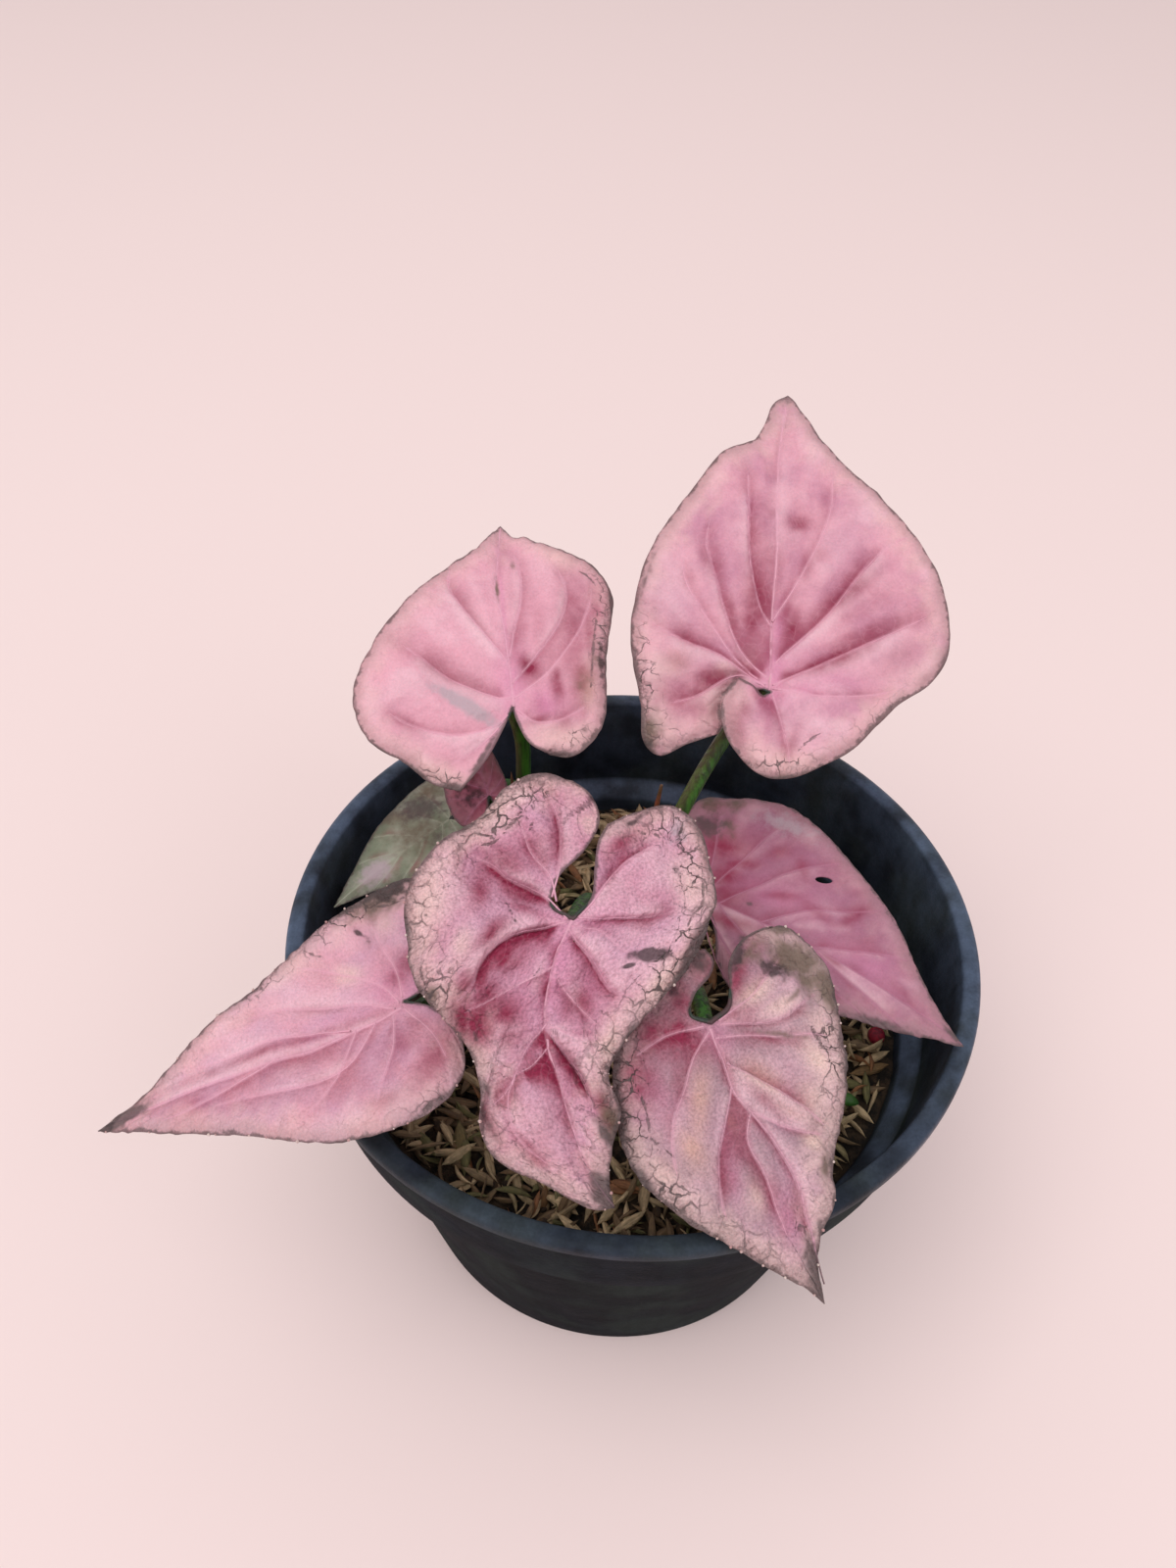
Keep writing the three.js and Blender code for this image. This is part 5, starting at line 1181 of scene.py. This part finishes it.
def leaf_finish(name, blade, settings):
    """Satin, pebbled flesh with stains and painted shade and highlights, pale veins, a crackled margin
    and a paler underside
    """
    flesh, second, crest, tone = (getattr(settings, blade[key])
                                  for key in ("flesh", "second", "lit", "vein_tone"))
    recipe = Recipe(name + "_flesh", flesh, IOR=1.4, Specular_IOR_Level=0.36,
                    Subsurface_Weight=0.05, Subsurface_Radius=(1.0, 0.35, 0.3),
                    Subsurface_Scale=0.0015)
    flat, shore = (recipe.attribute(key, "Vector") for key in ("flat", "shore"))
    rim, inner, vein, under, height, shade, nearest, crack, craze = (
        recipe.attribute(key)
        for key in ("rim", "inner", "vein", "under", "height", "shade", "nearest", "crack", "craze"))
    drift = recipe.noise(flat, 0.1)
    cloud = recipe.noise(flat, 0.24, 2.0)
    grain = recipe.noise(flat, 0.5, 4.0, 0.6)
    speck = recipe.noise(flat, 2.0, 3.0, 0.65)
    uneven, soft = grain - 0.5, cloud - 0.5
    reach, harshness, depth = blade["crackle_reach"], blade["crackle"], blade["depth"]

    # Flesh in two tones, with painted highlights on the crests, warmer towards the margin, with soft
    # stains and painted shade
    recipe.lay(drift.fade(0.38, 0.62), second)
    rough_height = height + soft * 0.9
    fold_shade = shade + soft * 0.5
    # painted highlight: paler on the crests of the relief and on the light side of each fold
    lit = rough_height.fade(0.0, 1.1, 0.0, 0.5).most(fold_shade.fade(-0.05, -0.8, 0.0, 0.6))
    recipe.lay(lit, crest)
    recipe.lay((rim + soft * 12.0).fade(8.0, 0.5) * (0.55 * blade["warmth"]), settings.cream)
    for layer, share in SOFT_STAINS_AND_SHADE.items():
        if layer in blade:
            strength = recipe.attribute(layer) * (soft * 1.3 + 1.0)
            recipe.lay(strength * share, getattr(settings, layer))
    # painted shade: magenta in the hollows of the relief and on the dark side of each fold
    painted_shade = rough_height.fade(-0.3, -1.6, 0.0, 0.5 * depth).most(
        fold_shade.fade(0.08, 0.8, 0.0, 0.85 * depth))
    recipe.lay(painted_shade, settings.magenta)
    recipe.tint(grain, 0.05)
    recipe.tint(speck, 0.03 + 0.2 * harshness ** 2)

    # Veins and the fine net between them, then the stains with a ragged edge
    net = recipe.cells(recipe.wander(flat, 0.3, 3.6), 0.3)
    recipe.lay(net.fade(0.06, 0.0) * 0.1, tone)
    recipe.lay(nearest.fade(0.6, 0.2, 0.0, 0.3), tone)
    recipe.lay(vein * 0.5, tone)
    for layer, (low, high) in HARD_STAINS_AND_SHADE.items():
        if layer in blade:
            strength = (recipe.attribute(layer) + uneven * 1.3).fade(low, high)
            recipe.lay(strength * 0.85, getattr(settings, layer))

    # The brown margin, a painted shade along it, and the cracks that run in from it
    crazed = craze.maths("ADD", 0.3 * harshness, use_clamp=True)
    patchy = recipe.noise(flat, 0.07, 2.0).fade(0.4, 0.6)
    ashore = rim + uneven * 2.6
    edge = (ashore - patchy * crazed * 1.1).fade(1.0, -0.1)
    edge = edge.most((inner + uneven).fade(0.75, 0.2))
    # painted shade: a soft grey darkening over the last few millimetres of the margin, where it curls
    edge = edge.most((rim + soft * 3.0).fade(3.4, 0.3, 0.0, 0.34))
    inward = (rim + uneven * (reach * 1.3)).fade(reach * 0.9, reach * 0.1)
    cracked = recipe.cells(recipe.wander(shore, 0.4, 3.0), 0.27)
    fine_net = recipe.cells(recipe.wander(shore, 0.9, 1.3), 0.75)
    breaks = recipe.noise(flat, 0.3, 2.0).fade(0.3, 0.46)
    lines = (cracked / (inward * 0.062 + 0.006)).fade(1.0, 0.3)
    lines = lines * (breaks * inward.fade(0.05, 0.4))
    spurs = fine_net.fade(0.08, 0.03) * ashore.fade(3.2, 0.6)
    lines = lines.most(spurs * 0.7) * crazed
    lines = (lines * 0.95).most((crack + uneven).fade(0.32, 0.08) * 0.7)
    recipe.lay(lines.most(edge * 0.82), settings.grey)
    below = recipe.mix(drift.fade(0.4, 0.6), settings.underside, flesh)
    recipe.lay(under * 0.85, recipe.tinted(below, grain, 0.12))

    # Pebbles over swellings between the cracks
    pebble = recipe.cells(flat, 1.1, "SMOOTH_F1")
    pebbled = recipe.bump(speck * 0.7 - pebble, 0.1 + 0.45 * harshness ** 2)
    swollen = cracked.fade(0.0, 0.3) * (inward * crazed) + cloud * 1.2
    normal = recipe.bump(swollen - lines * 0.5, 0.15 + 0.35 * harshness, Normal=pebbled)
    gloss = 0.1 * harshness
    return recipe.finish(normal, grain.fade(0.3, 0.7, 0.44 - gloss, 0.62 - gloss))


def plain_finish(name, first, second, size, roughness=0.6, tint=0.15, depth=0.2):
    """Two colours in soft patches with fine unevenness, for small pieces"""
    recipe = Recipe(name, first)
    place = recipe.place()
    fine = recipe.noise(place, 5 / size, 4.0, 0.65)
    recipe.lay(recipe.noise(place, 1 / size, 4.0).fade(0.4, 0.6), second)
    recipe.tint(fine, tint)
    return recipe.finish(recipe.bump(fine, depth),
                         fine.fade(0.3, 0.7, roughness - 0.08, roughness + 0.08))


class SYNGONIUM_OT_blades(Operator):
    """Grows the blades with their veins, margins and joints"""
    bl_idname = "syngonium.blades"
    bl_label = "Grow the blades"

    def execute(self, context):
        settings = context.scene.syngonium_blades
        collars, beads = Bundle(), Bundle()
        draw = random.Random(SEEDS["beads"])
        for name, blade in BLADES.items():
            sheet = BladeSheet(name, blade)
            piece = thick_blade(sheet, settings).piece(
                name.replace("blade_", "leaf_"), blade["slot"], leaf_finish(name, blade, settings))
            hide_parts(name)
            self.add_collar(collars, sheet)
            self.add_beads(beads, sheet, draw)
        green = plain_finish("joint_green", settings.collar, srgb(74, 48, 52), 2.5, 0.4)
        collars.piece("notch_rims", "stalk_green", green)
        pale = plain_finish("bead_pale", srgb(226, 206, 200), srgb(196, 150, 150), 1.0, 0.35)
        beads.piece("margin_beads", "blade_pink", pale)
        return {"FINISHED"}

    def add_collar(self, collars, sheet):
        """The green rim round the notch, where the stalk runs into the blade"""
        radius, share = sheet.blade["collar"]
        reach = int(share * sheet.x.shape[1])
        line = smooth_line(np.vstack([sheet.grid[-1, reach:0:-2], sheet.points[:1],
                                      sheet.grid[0, 1:reach:2]]), 48)
        taper = 0.25 + 0.75 * np.sin(np.linspace(0, math.pi, len(line))) ** 0.6
        collars.add(*tube(line, radius * taper, 10))

    def add_beads(self, beads, sheet, draw):
        """Small pale beads along a rough margin"""
        if sheet.blade["crackle"] < BEADS_FROM:
            return
        rays, ray = len(sheet.grid), 6
        while ray < rays - 6:
            ray += draw.randint(3, 9)
            if ray >= rays or draw.random() < 0.35:
                continue
            normal = sheet.normals[(ray + 1) * sheet.x.shape[1]]
            radius = draw.uniform(0.15, 0.33)
            centre = sheet.grid[ray, -1] + normal * draw.uniform(-0.1, 0.25)
            line = centre + np.outer(np.linspace(-1, 1, 5) * radius, normal)
            beads.add(*tube(line, radius * np.array([0.5, 0.86, 1, 0.86, 0.5]), 7))


class SYNGONIUM_OT_stalks(Operator):
    """Grows the stalks with their sheaths, the shoot and the seedlings"""
    bl_idname = "syngonium.stalks"
    bl_label = "Grow the stalks"

    def execute(self, context):
        settings = context.scene.syngonium_stalks
        green = self.stalk_finish(settings)
        for tuft, crown in CROWNS.items():
            bundle = Bundle()
            for blade in BLADES.values():
                if blade["tuft"] == tuft:
                    self.add_stalk(bundle, blade, crown, settings)
            self.add_crown(bundle, crown)
            piece = bundle.piece("stems_" + tuft, "stalk_green", green)
            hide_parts("stalks_" + tuft)
        self.make_shoot(settings)
        self.make_dry_sheaths(settings)
        self.make_seedlings(settings)
        return {"FINISHED"}

    def stalk_finish(self, settings):
        recipe = Recipe("stalk_skin", settings.green, IOR=1.45)
        place = recipe.place()
        streaks = recipe.noise(recipe.stretched(place, (0.9, 0.9, 0.08)), 1.0, 4.0)
        fine = recipe.noise(place, 2.2)
        recipe.lay(streaks.fade(0.38, 0.62), settings.dark_green)
        recipe.lay(recipe.attribute("sheath"), settings.brown)
        recipe.tint(fine, 0.14)
        return recipe.finish(recipe.bump(streaks, 0.5), fine.fade(0.3, 0.7, 0.32, 0.48))

    def add_stalk(self, bundle, blade, crown, settings):
        """A ribbed stalk from its crown to just under its blade, winged and brown at its foot"""
        seat = bent(blade, 0, STALK_SEAT)
        ahead = bent(blade, 0, STALK_SEAT + 1) - seat
        right = bent(blade, 1, STALK_SEAT) - bent(blade, -1, STALK_SEAT)
        up = unit(np.cross(right, ahead))
        seat = seat - up * SEAT_DROP
        shares = np.linspace(0, 1, STALK_STEPS)
        line = smooth_line([(*crown["at"], crown["shoulder"] - 6), *blade["route"],
                            seat - up * STALK_APPROACH, seat], shares)
        radius, foot = settings.radius / MM, settings.foot_radius / MM
        radii = (radius + (foot - radius) * (1 - smoothstep(0, 0.35, shares))
                 + 0.25 * smoothstep(0.9, 1, shares))
        turns = ring_turns(STALK_SIDES)
        ribs = 1 + 0.035 * np.sin(STALK_RIBS * turns) - 0.16 * np.maximum(0, np.cos(turns)) ** 6
        wing = 0.45 * (1 - smoothstep(0.2, 0.42, shares))
        wings = sum(np.maximum(0, np.cos(turns + turn)) ** 8 for turn in (-0.7, 0.7))
        points, faces = tube(line, radii, STALK_SIDES, ribs + wing[:, None] * wings)
        side = np.tile(np.maximum(0, np.cos(turns - 2.4)) ** 2, len(line))
        low = (1 - smoothstep(0.05, 0.35, shares))[ring_rows(points, STALK_SIDES)]
        brown = 0.75 * low + 0.35 * np.concatenate([side, [0, 0]])
        bundle.add(points, faces, sheath=np.minimum(1, brown))

    def add_crown(self, bundle, crown):
        shares = np.linspace(0, 1, 16)
        x, y = crown["at"]
        line = np.column_stack([x + 0 * shares, y + 0 * shares,
                                crown["foot"] + (crown["top"] - crown["foot"]) * shares])
        knobs = 1 + 0.06 * np.sin(14 * shares)
        radii = crown["radius"] * (1 - 0.45 * smoothstep(0.7, 1, shares)) * knobs
        bundle.add(*tube(line, radii, 20), sheath=0.8)

    def make_shoot(self, settings):
        """A new leaf, still furled to a spear"""
        shares = np.linspace(0, 1, 40)
        radii = 1.7 - 1.35 * shares + 0.25 * np.sin(math.pi * shares)
        furl = 1 - 0.22 * np.maximum(0, np.cos(ring_turns(14) - 1)) ** 10
        bundle = Bundle().add(*tube(smooth_line(SHOOT_ROUTE, shares), radii, 14, furl))
        skin = plain_finish("shoot_skin", settings.shoot, srgb(96, 66, 40), 5, 0.5)
        piece = bundle.piece("furled_shoot", "shoot_brown", skin)
        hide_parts("new_shoot")

    def make_dry_sheaths(self, settings):
        """Papery brown sheaths beside the crowns"""
        bundle, shares, turns = Bundle(), np.linspace(0, 1, 26), ring_turns(12)
        squeeze = np.where(np.cos(turns) > 0, 1, 0.45) * (0.35 + 0.65 * np.abs(np.sin(turns)))
        for route, width in SHEATHS:
            radii = width * (1 - shares) ** 0.6 + 0.08
            bundle.add(*tube(smooth_line(route, shares), radii, 12, squeeze))
        skin = plain_finish("dry_sheath", settings.brown, srgb(158, 120, 92), 4, 0.8)
        bundle.piece("dry_sheaths", "stalk_green", skin)

    def make_seedlings(self, settings):
        """A few small green seedlings in the mix, most of them behind the left tuft"""
        bundle, draw = Bundle(), random.Random(SEEDS["seedlings"])
        radii = 1.5 * np.sin(np.linspace(0.12, math.pi * 0.96, 10)) ** 0.8
        for base_x, base_y, height in SEEDLINGS:
            top = np.array([base_x + draw.uniform(-3, 3), base_y + draw.uniform(-2, 3),
                            SEEDLING_FOOT + height])
            foot = np.array([base_x, base_y, SEEDLING_FOOT - 2.5])
            line = smooth_line((foot, (foot + top) / 2 + draw.uniform(-1, 1), top), 12)
            bundle.add(*tube(line, np.linspace(0.4, 0.25, 12), 6))
            for leaf in range(4):
                turn = leaf * math.pi / 2 + draw.uniform(-0.4, 0.4)
                out = np.array([math.cos(turn), math.sin(turn), draw.uniform(0.1, 0.5)])
                size = draw.uniform(2.2, 3.6)
                line = smooth_line((top, top + out * size,
                                    top + out * 2 * size - np.array([0, 0, 0.6])), 10)
                squeeze = 0.16 + 0.84 * np.abs(np.cos(ring_turns(8) + turn))
                bundle.add(*tube(line, radii, 8, squeeze))
        skin = plain_finish("seedling_skin", settings.seedling, srgb(40, 84, 30), 3, 0.5)
        bundle.piece("seedlings", "stalk_green", skin)


def mix_height(x, y):
    """The mix's surface: gentle swells with a finer unevenness over them"""
    swell = np.sin(FULL_TURN * x / 57) * np.cos(FULL_TURN * y / 48)
    return swell + 0.6 * np.sin(FULL_TURN * (x / 23 + y / 30))


class SYNGONIUM_OT_mix(Operator):
    """Fills the pot with dark mix, rice husks, crumbs and the feed granule"""
    bl_idname = "syngonium.mix"
    bl_label = "Fill in the potting mix"

    def execute(self, context):
        settings = context.scene.syngonium_mix
        draw = random.Random(SEEDS["mix"])
        self.make_bed(settings)
        self.spread_husks(settings, draw)
        self.spread_crumbs(settings, draw)
        self.drop_granule(settings)
        return {"FINISHED"}

    def make_bed(self, settings):
        """The body of the mix, with lumps in its surface"""
        level = settings.level / MM
        profile = [(0, BED_FLOOR), (51.0, BED_FLOOR), (51.9, 4.0), (BED_REACH - 0.6, level - 4),
                   *((BED_REACH * share, level) for share in np.linspace(1, 0, 34))]
        points, faces = lathe(profile, 120)
        x, y, z = points.T
        swell = mix_height(x, y) + 0.9 * lumps(x, y, 3.5, 3) + 0.5 * lumps(x, y, 1.6, 4) - 1.2
        points[:, 2] += np.where(z > level - 1, swell, 0)
        soil = plain_finish("dark_soil", settings.soil, srgb(78, 62, 46), 3, 0.95, 0.4, 1.2)
        piece = Bundle().add(points, faces).piece("mix_bed", "potting_mix", soil)
        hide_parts("potting_mix")

    def husk_finish(self, settings):
        recipe = Recipe("husk_skin", settings.bark)
        tone, local = recipe.attribute("tone"), recipe.attribute("local", "Vector")
        recipe.lay(tone.fade(0.2, 0.7), settings.straw)
        recipe.lay(tone.fade(0.78, 0.84), settings.moss)
        recipe.lay(tone.fade(0.94, 0.96), srgb(150, 104, 70))
        ribs = recipe.noise(recipe.stretched(local, (0.25, 3.0, 3.0)), 1.0)
        blotch = recipe.noise(local, 0.6)
        recipe.tint(ribs, 0.22)
        recipe.tint(blotch, 0.25)
        return recipe.finish(recipe.bump(ribs, 0.4), blotch.fade(0.3, 0.7, 0.6, 0.85))

    def spread_husks(self, settings, draw):
        """Curved, ribbed husks lying every way, none of them in the pot's wall"""
        bundle, faces = Bundle(), ring_faces(HUSK_RINGS, HUSK_SIDES)
        stations, turns = np.linspace(0, 1, HUSK_RINGS), ring_turns(HUSK_SIDES)
        profile = np.maximum(0.05, np.sin(math.pi * stations ** 0.9)) ** 0.75
        level, length = settings.level / MM, settings.husk_length / MM
        for _ in range(settings.husks):
            x, y = scattered(draw, HUSK_REACH)
            size = draw.uniform(0.6, 1.12)
            span = length * size
            width = draw.uniform(0.85, 1.4) * size
            along = (stations - 0.5) * span
            bend = draw.uniform(-0.9, 1.3) * (1 - (2 * stations - 1) ** 2)
            centre = np.column_stack([along, 0 * along, bend])
            flatness = draw.uniform(0.3, 0.6)
            ring = np.column_stack([0 * turns, np.cos(turns), np.sin(turns) * flatness])
            points = (centre[:, None] + profile[:, None, None] * width * ring[None]).reshape(-1, 3)
            points = np.vstack([points, [[-span / 2 - 0.4, 0, bend[0]], [span / 2 + 0.5, 0, bend[-1]]]])
            lying = turned(points, Z=draw.uniform(0, FULL_TURN), Y=draw.gauss(0, 0.26),
                           X=draw.uniform(0, FULL_TURN))
            local = points + 40 * draw.random()
            lying += (x, y, level + (draw.uniform(-0.3, 2.1) + mix_height(x, y)))
            over = np.hypot(lying[:, 0], lying[:, 1]).max() - HUSK_LIMIT
            if over > 0:
                lying[:, :2] *= 1 - over / HUSK_LIMIT
            bundle.add(lying, faces, tone=draw.random(), local=local)
        bundle.piece("rice_husks", "potting_mix", self.husk_finish(settings))

    def spread_crumbs(self, settings, draw):
        """Knobbly lumps of soil among the husks"""
        bundle = Bundle()
        for _ in range(settings.crumbs):
            x, y = scattered(draw, CRUMB_REACH)
            size = draw.uniform(0.5, 1.5)
            line = np.zeros((CRUMB_RINGS, 3))
            line[:, 0] = np.linspace(-0.9, 0.9, CRUMB_RINGS) * size * draw.uniform(0.8, 1.6)
            radii = size * np.array([0.5, 0.9, 1, 0.85, 0.4]) * draw.uniform(0.7, 1.1)
            knobs = np.array([[1 + draw.uniform(-0.22, 0.22) for _ in range(CRUMB_SIDES)]
                              for _ in range(CRUMB_RINGS)])
            points, faces = tube(line, radii, CRUMB_SIDES, knobs)
            points = turned(points, Z=draw.uniform(0, 6.3), Y=draw.uniform(-0.8, 0.8))
            points += (x, y, settings.level / MM + mix_height(x, y) + draw.uniform(-0.6, 0.9))
            bundle.add(points, faces)
        crumb = plain_finish("crumb_skin", srgb(58, 44, 34), srgb(92, 70, 48), 2, 0.9, 0.3, 0.6)
        bundle.piece("soil_crumbs", "potting_mix", crumb)

    def drop_granule(self, settings):
        """A slightly uneven ball in the granule's own box"""
        low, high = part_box("feed_granule")
        centre, radius = (low + high) / (2 * MM), (high - low).x / (2 * MM)
        profile = [(radius * math.sin(math.pi * share), -radius * math.cos(math.pi * share))
                   for share in np.linspace(0, 1, 15)]
        points, faces = lathe(profile, 22)
        points *= 1 + 0.04 * lumps(points[:, 0] + 9, points[:, 1] + points[:, 2], 1.1, 8)[:, None]
        skin = plain_finish("granule_skin", settings.granule, srgb(120, 20, 44), 1.2, 0.45)
        piece = Bundle().add(points + np.array(centre), faces).piece("red_granule", "granule_red", skin)
        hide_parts("feed_granule")


class SYNGONIUM_OT_pot(Operator):
    """Moulds the nursery pot with its lip, collar, ledge and drain holes"""
    bl_idname = "syngonium.pot"
    bl_label = "Mould the pot"

    def execute(self, context):
        settings = context.scene.syngonium_pot
        height, rim, base = (settings.height / MM, settings.rim_radius / MM, settings.base_radius / MM)
        # Radius, height and painted sheen of each corner, from the foot up to the lip and down inside
        corners = (
            (0, 0.0, 0), (base - 1.2, 0.0, 0), (base - 0.35, 0.35, 0), (base, 1.2, 0.1),
            (66, 71.7, 0.05), (70, 74.5, 0.5), (70.6, 75.6, 0.2), (rim - 1.5, height - 4.4, 0.15),
            (rim - 0.6, height - 4, 0.5), (rim, height - 3, 0.9), (rim, height - 1.2, 1),
            (rim - 0.4, height - 0.35, 1), (rim - 1.3, height, 0.8), (rim - 2.9, height, 0.8),
            (rim - 3.6, height - 0.3, 0.9), (rim - 4, height - 1.2, 0.5), (67.9, 76.2, 0.1),
            (67.4, 75.3, 0.8), (66.6, 74.5, 1), (63.9, 72.4, 0.9), (63.3, 71.4, 0.3),
            (51.2, 3.6, 0), (50.4, 2.5, 0), (0, 2.5, 0),
        )
        profile = []
        for start, end in zip(corners, corners[1:]):
            steps = max(1, int(math.dist(start[:2], end[:2]) / 4))
            for step in range(steps):
                profile.append([a + (b - a) * (step / steps) for a, b in zip(start, end)])
        profile = np.array([*profile, corners[-1]])
        points, faces = lathe(
            profile[:, :2], POT_SEGMENTS,
            lambda turns: 1 + 0.0016 * np.sin(2 * turns + 1) + 0.0009 * np.sin(5 * turns))
        # painted reflection: a bluish sheen of the sky on the lip and the ledge, faded towards the front
        bloom = np.concatenate([np.repeat(profile[1:-1, 2], POT_SEGMENTS), [0, 0]])
        bloom *= 1 - 0.7 * smoothstep(0.15, 0.85, -points[:, 1] / rim)
        bundle = Bundle().add(points, faces, bloom=bloom)
        piece = bundle.piece("nursery_pot", "pot_plastic", self.plastic_finish(settings))
        self.drill(piece)
        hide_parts("pot")
        return {"FINISHED"}

    def plastic_finish(self, settings):
        recipe = Recipe("black_plastic", settings.plastic, IOR=1.3)
        place, bloom = recipe.place(), recipe.attribute("bloom")
        clouds = recipe.noise(place, 0.05, 4.0)
        fine = recipe.noise(place, 1.6, 4.0, 0.6)
        streaks = recipe.noise(recipe.stretched(place, (1.0, 1.0, 0.06)), 0.5)
        recipe.lay(clouds.fade(0.42, 0.66, 0.0, 0.5), settings.algae)
        # painted reflection: the bluish sheen of the sky, laid on the lip and the ledge
        recipe.lay(bloom * recipe.noise(place, 0.12, 4.0).fade(0.3, 0.7, 0.2, 0.8), settings.bloom)
        recipe.tint(fine, 0.12)
        recipe.tint(streaks, 0.1)
        # The plastic is also glossier where the sheen is painted
        worn = bloom.fade(0.05, 0.5)
        recipe.dress(Specular_IOR_Level=worn.fade(0.0, 1.0, 0.06, 0.4))
        return recipe.finish(recipe.bump(fine, 0.12, Normal=recipe.bump(clouds, 1.0)),
                             clouds.fade(0.3, 0.7, 0.6, 0.75) - worn * 0.28)

    def drill(self, piece):
        """Round drain holes through the floor"""
        drills = Bundle()
        points, faces = lathe([(0, -3), (DRAIN_RADIUS, -3), (DRAIN_RADIUS, 6), (0, 6)], 32)
        for hole in range(DRAIN_HOLES):
            turn = FULL_TURN * (hole + 0.5) / DRAIN_HOLES
            place = (DRAIN_CIRCLE * math.cos(turn), DRAIN_CIRCLE * math.sin(turn), 0)
            drills.add(points + place, faces, bloom=0)
        tool = drills.piece("drain_drills", "pot_plastic")
        cut = piece.modifiers.new("drain", "BOOLEAN")
        cut.operation, cut.object, cut.solver = "DIFFERENCE", tool, "EXACT"
        graph = bpy.context.evaluated_depsgraph_get()
        drilled = bpy.data.meshes.new_from_object(piece.evaluated_get(graph))
        piece.modifiers.clear()
        piece.data = drilled
        bpy.data.objects.remove(tool)


class SYNGONIUM_OT_stage(Operator):
    """Sets the floor, the light and the camera"""
    bl_idname = "syngonium.stage"
    bl_label = "Set the stage"

    def execute(self, context):
        settings, scene = context.scene.syngonium_stage, context.scene
        mesh = bpy.data.meshes.new("floor")
        reach = 4.0
        mesh.from_pydata([(-reach, -reach, 0), (reach, -reach, 0), (reach, reach, 0),
                          (-reach, reach, 0)], [], [[0, 1, 2, 3]])
        mesh.materials.append(Recipe("pale_floor", settings.floor, Roughness=0.9).material)
        floor = bpy.data.objects.new("floor", mesh)
        scene.collection.objects.link(floor)
        world = bpy.data.worlds.new("surround")
        world.use_nodes = True
        background = world.node_tree.nodes["Background"]
        background.inputs["Color"].default_value = (*srgb(250, 244, 244), 1)
        background.inputs["Strength"].default_value = settings.sky
        scene.world = world
        scene.view_settings.view_transform = "Standard"
        self.add_light("key_light", (-0.6, -0.9, 2.5), settings.key, 2.0, srgb(255, 252, 248))
        self.add_light("fill_light", (1.1, -0.9, 1.4), settings.fill, 1.0, srgb(240, 246, 255))
        self.add_camera(scene)
        return {"FINISHED"}

    def add_light(self, name, place, power, size, colour):
        data = bpy.data.lights.new(name, "AREA")
        data.energy, data.size, data.color = power, size, colour
        light = bpy.data.objects.new(name, data)
        light.location = place
        light.rotation_euler = (Vector((0, 0, 0.1)) - Vector(place)).to_track_quat("-Z", "Y").to_euler()
        bpy.context.scene.collection.objects.link(light)

    def add_camera(self, scene):
        data = bpy.data.cameras.new("camera")
        data.sensor_fit, data.sensor_width, data.lens = "AUTO", 36, CAMERA_LENS
        data.clip_start = 0.01
        camera = bpy.data.objects.new("camera", data)
        pitch, yaw, roll = (math.radians(a) for a in (CAMERA_PITCH, CAMERA_YAW, CAMERA_ROLL))
        forward = Vector((math.sin(yaw) * math.cos(pitch), math.cos(yaw) * math.cos(pitch),
                          -math.sin(pitch)))
        level = Vector((math.cos(yaw), -math.sin(yaw), 0))
        upright = level.cross(forward)
        right = math.cos(roll) * level + math.sin(roll) * upright
        up = -math.sin(roll) * level + math.cos(roll) * upright
        turn = Matrix((right, up, -forward)).transposed()
        camera.matrix_world = Matrix.Translation(Vector(CAMERA_PLACE) * MM) @ turn.to_4x4()
        scene.collection.objects.link(camera)
        scene.camera = camera


class SYNGONIUM_PT_panel(Panel):
    """Lists the steps that build the potted syngonium"""
    bl_idname = "SYNGONIUM_PT_panel"
    bl_label = "Potted syngonium"
    bl_space_type = "VIEW_3D"
    bl_region_type = "UI"
    bl_category = "Syngonium"

    def draw(self, context):
        for operator in OPERATORS:
            self.layout.operator(operator.bl_idname)
        for name in SETTINGS:
            box = self.layout.box()
            group = getattr(context.scene, name)
            for key in group.bl_rna.properties.keys():
                if key not in ("rna_type", "name"):
                    box.prop(group, key)


SETTINGS = {
    "syngonium_blades": BladeSettings,
    "syngonium_stalks": StalkSettings,
    "syngonium_mix": MixSettings,
    "syngonium_pot": PotSettings,
    "syngonium_stage": StageSettings,
}
OPERATORS = (SYNGONIUM_OT_stage, SYNGONIUM_OT_pot, SYNGONIUM_OT_mix, SYNGONIUM_OT_stalks,
             SYNGONIUM_OT_blades)


def register():
    for name, group in SETTINGS.items():
        bpy.utils.register_class(group)
        setattr(bpy.types.Scene, name, PointerProperty(type=group))
    for operator in (*OPERATORS, SYNGONIUM_PT_panel):
        bpy.utils.register_class(operator)


def unregister():
    for operator in reversed((*OPERATORS, SYNGONIUM_PT_panel)):
        bpy.utils.unregister_class(operator)
    for name, group in SETTINGS.items():
        delattr(bpy.types.Scene, name)
        bpy.utils.unregister_class(group)


def main():
    register()
    bpy.ops.syngonium.stage()
    bpy.ops.syngonium.pot()
    bpy.ops.syngonium.mix()
    bpy.ops.syngonium.stalks()
    bpy.ops.syngonium.blades()


if __name__ == "__main__":
    main()
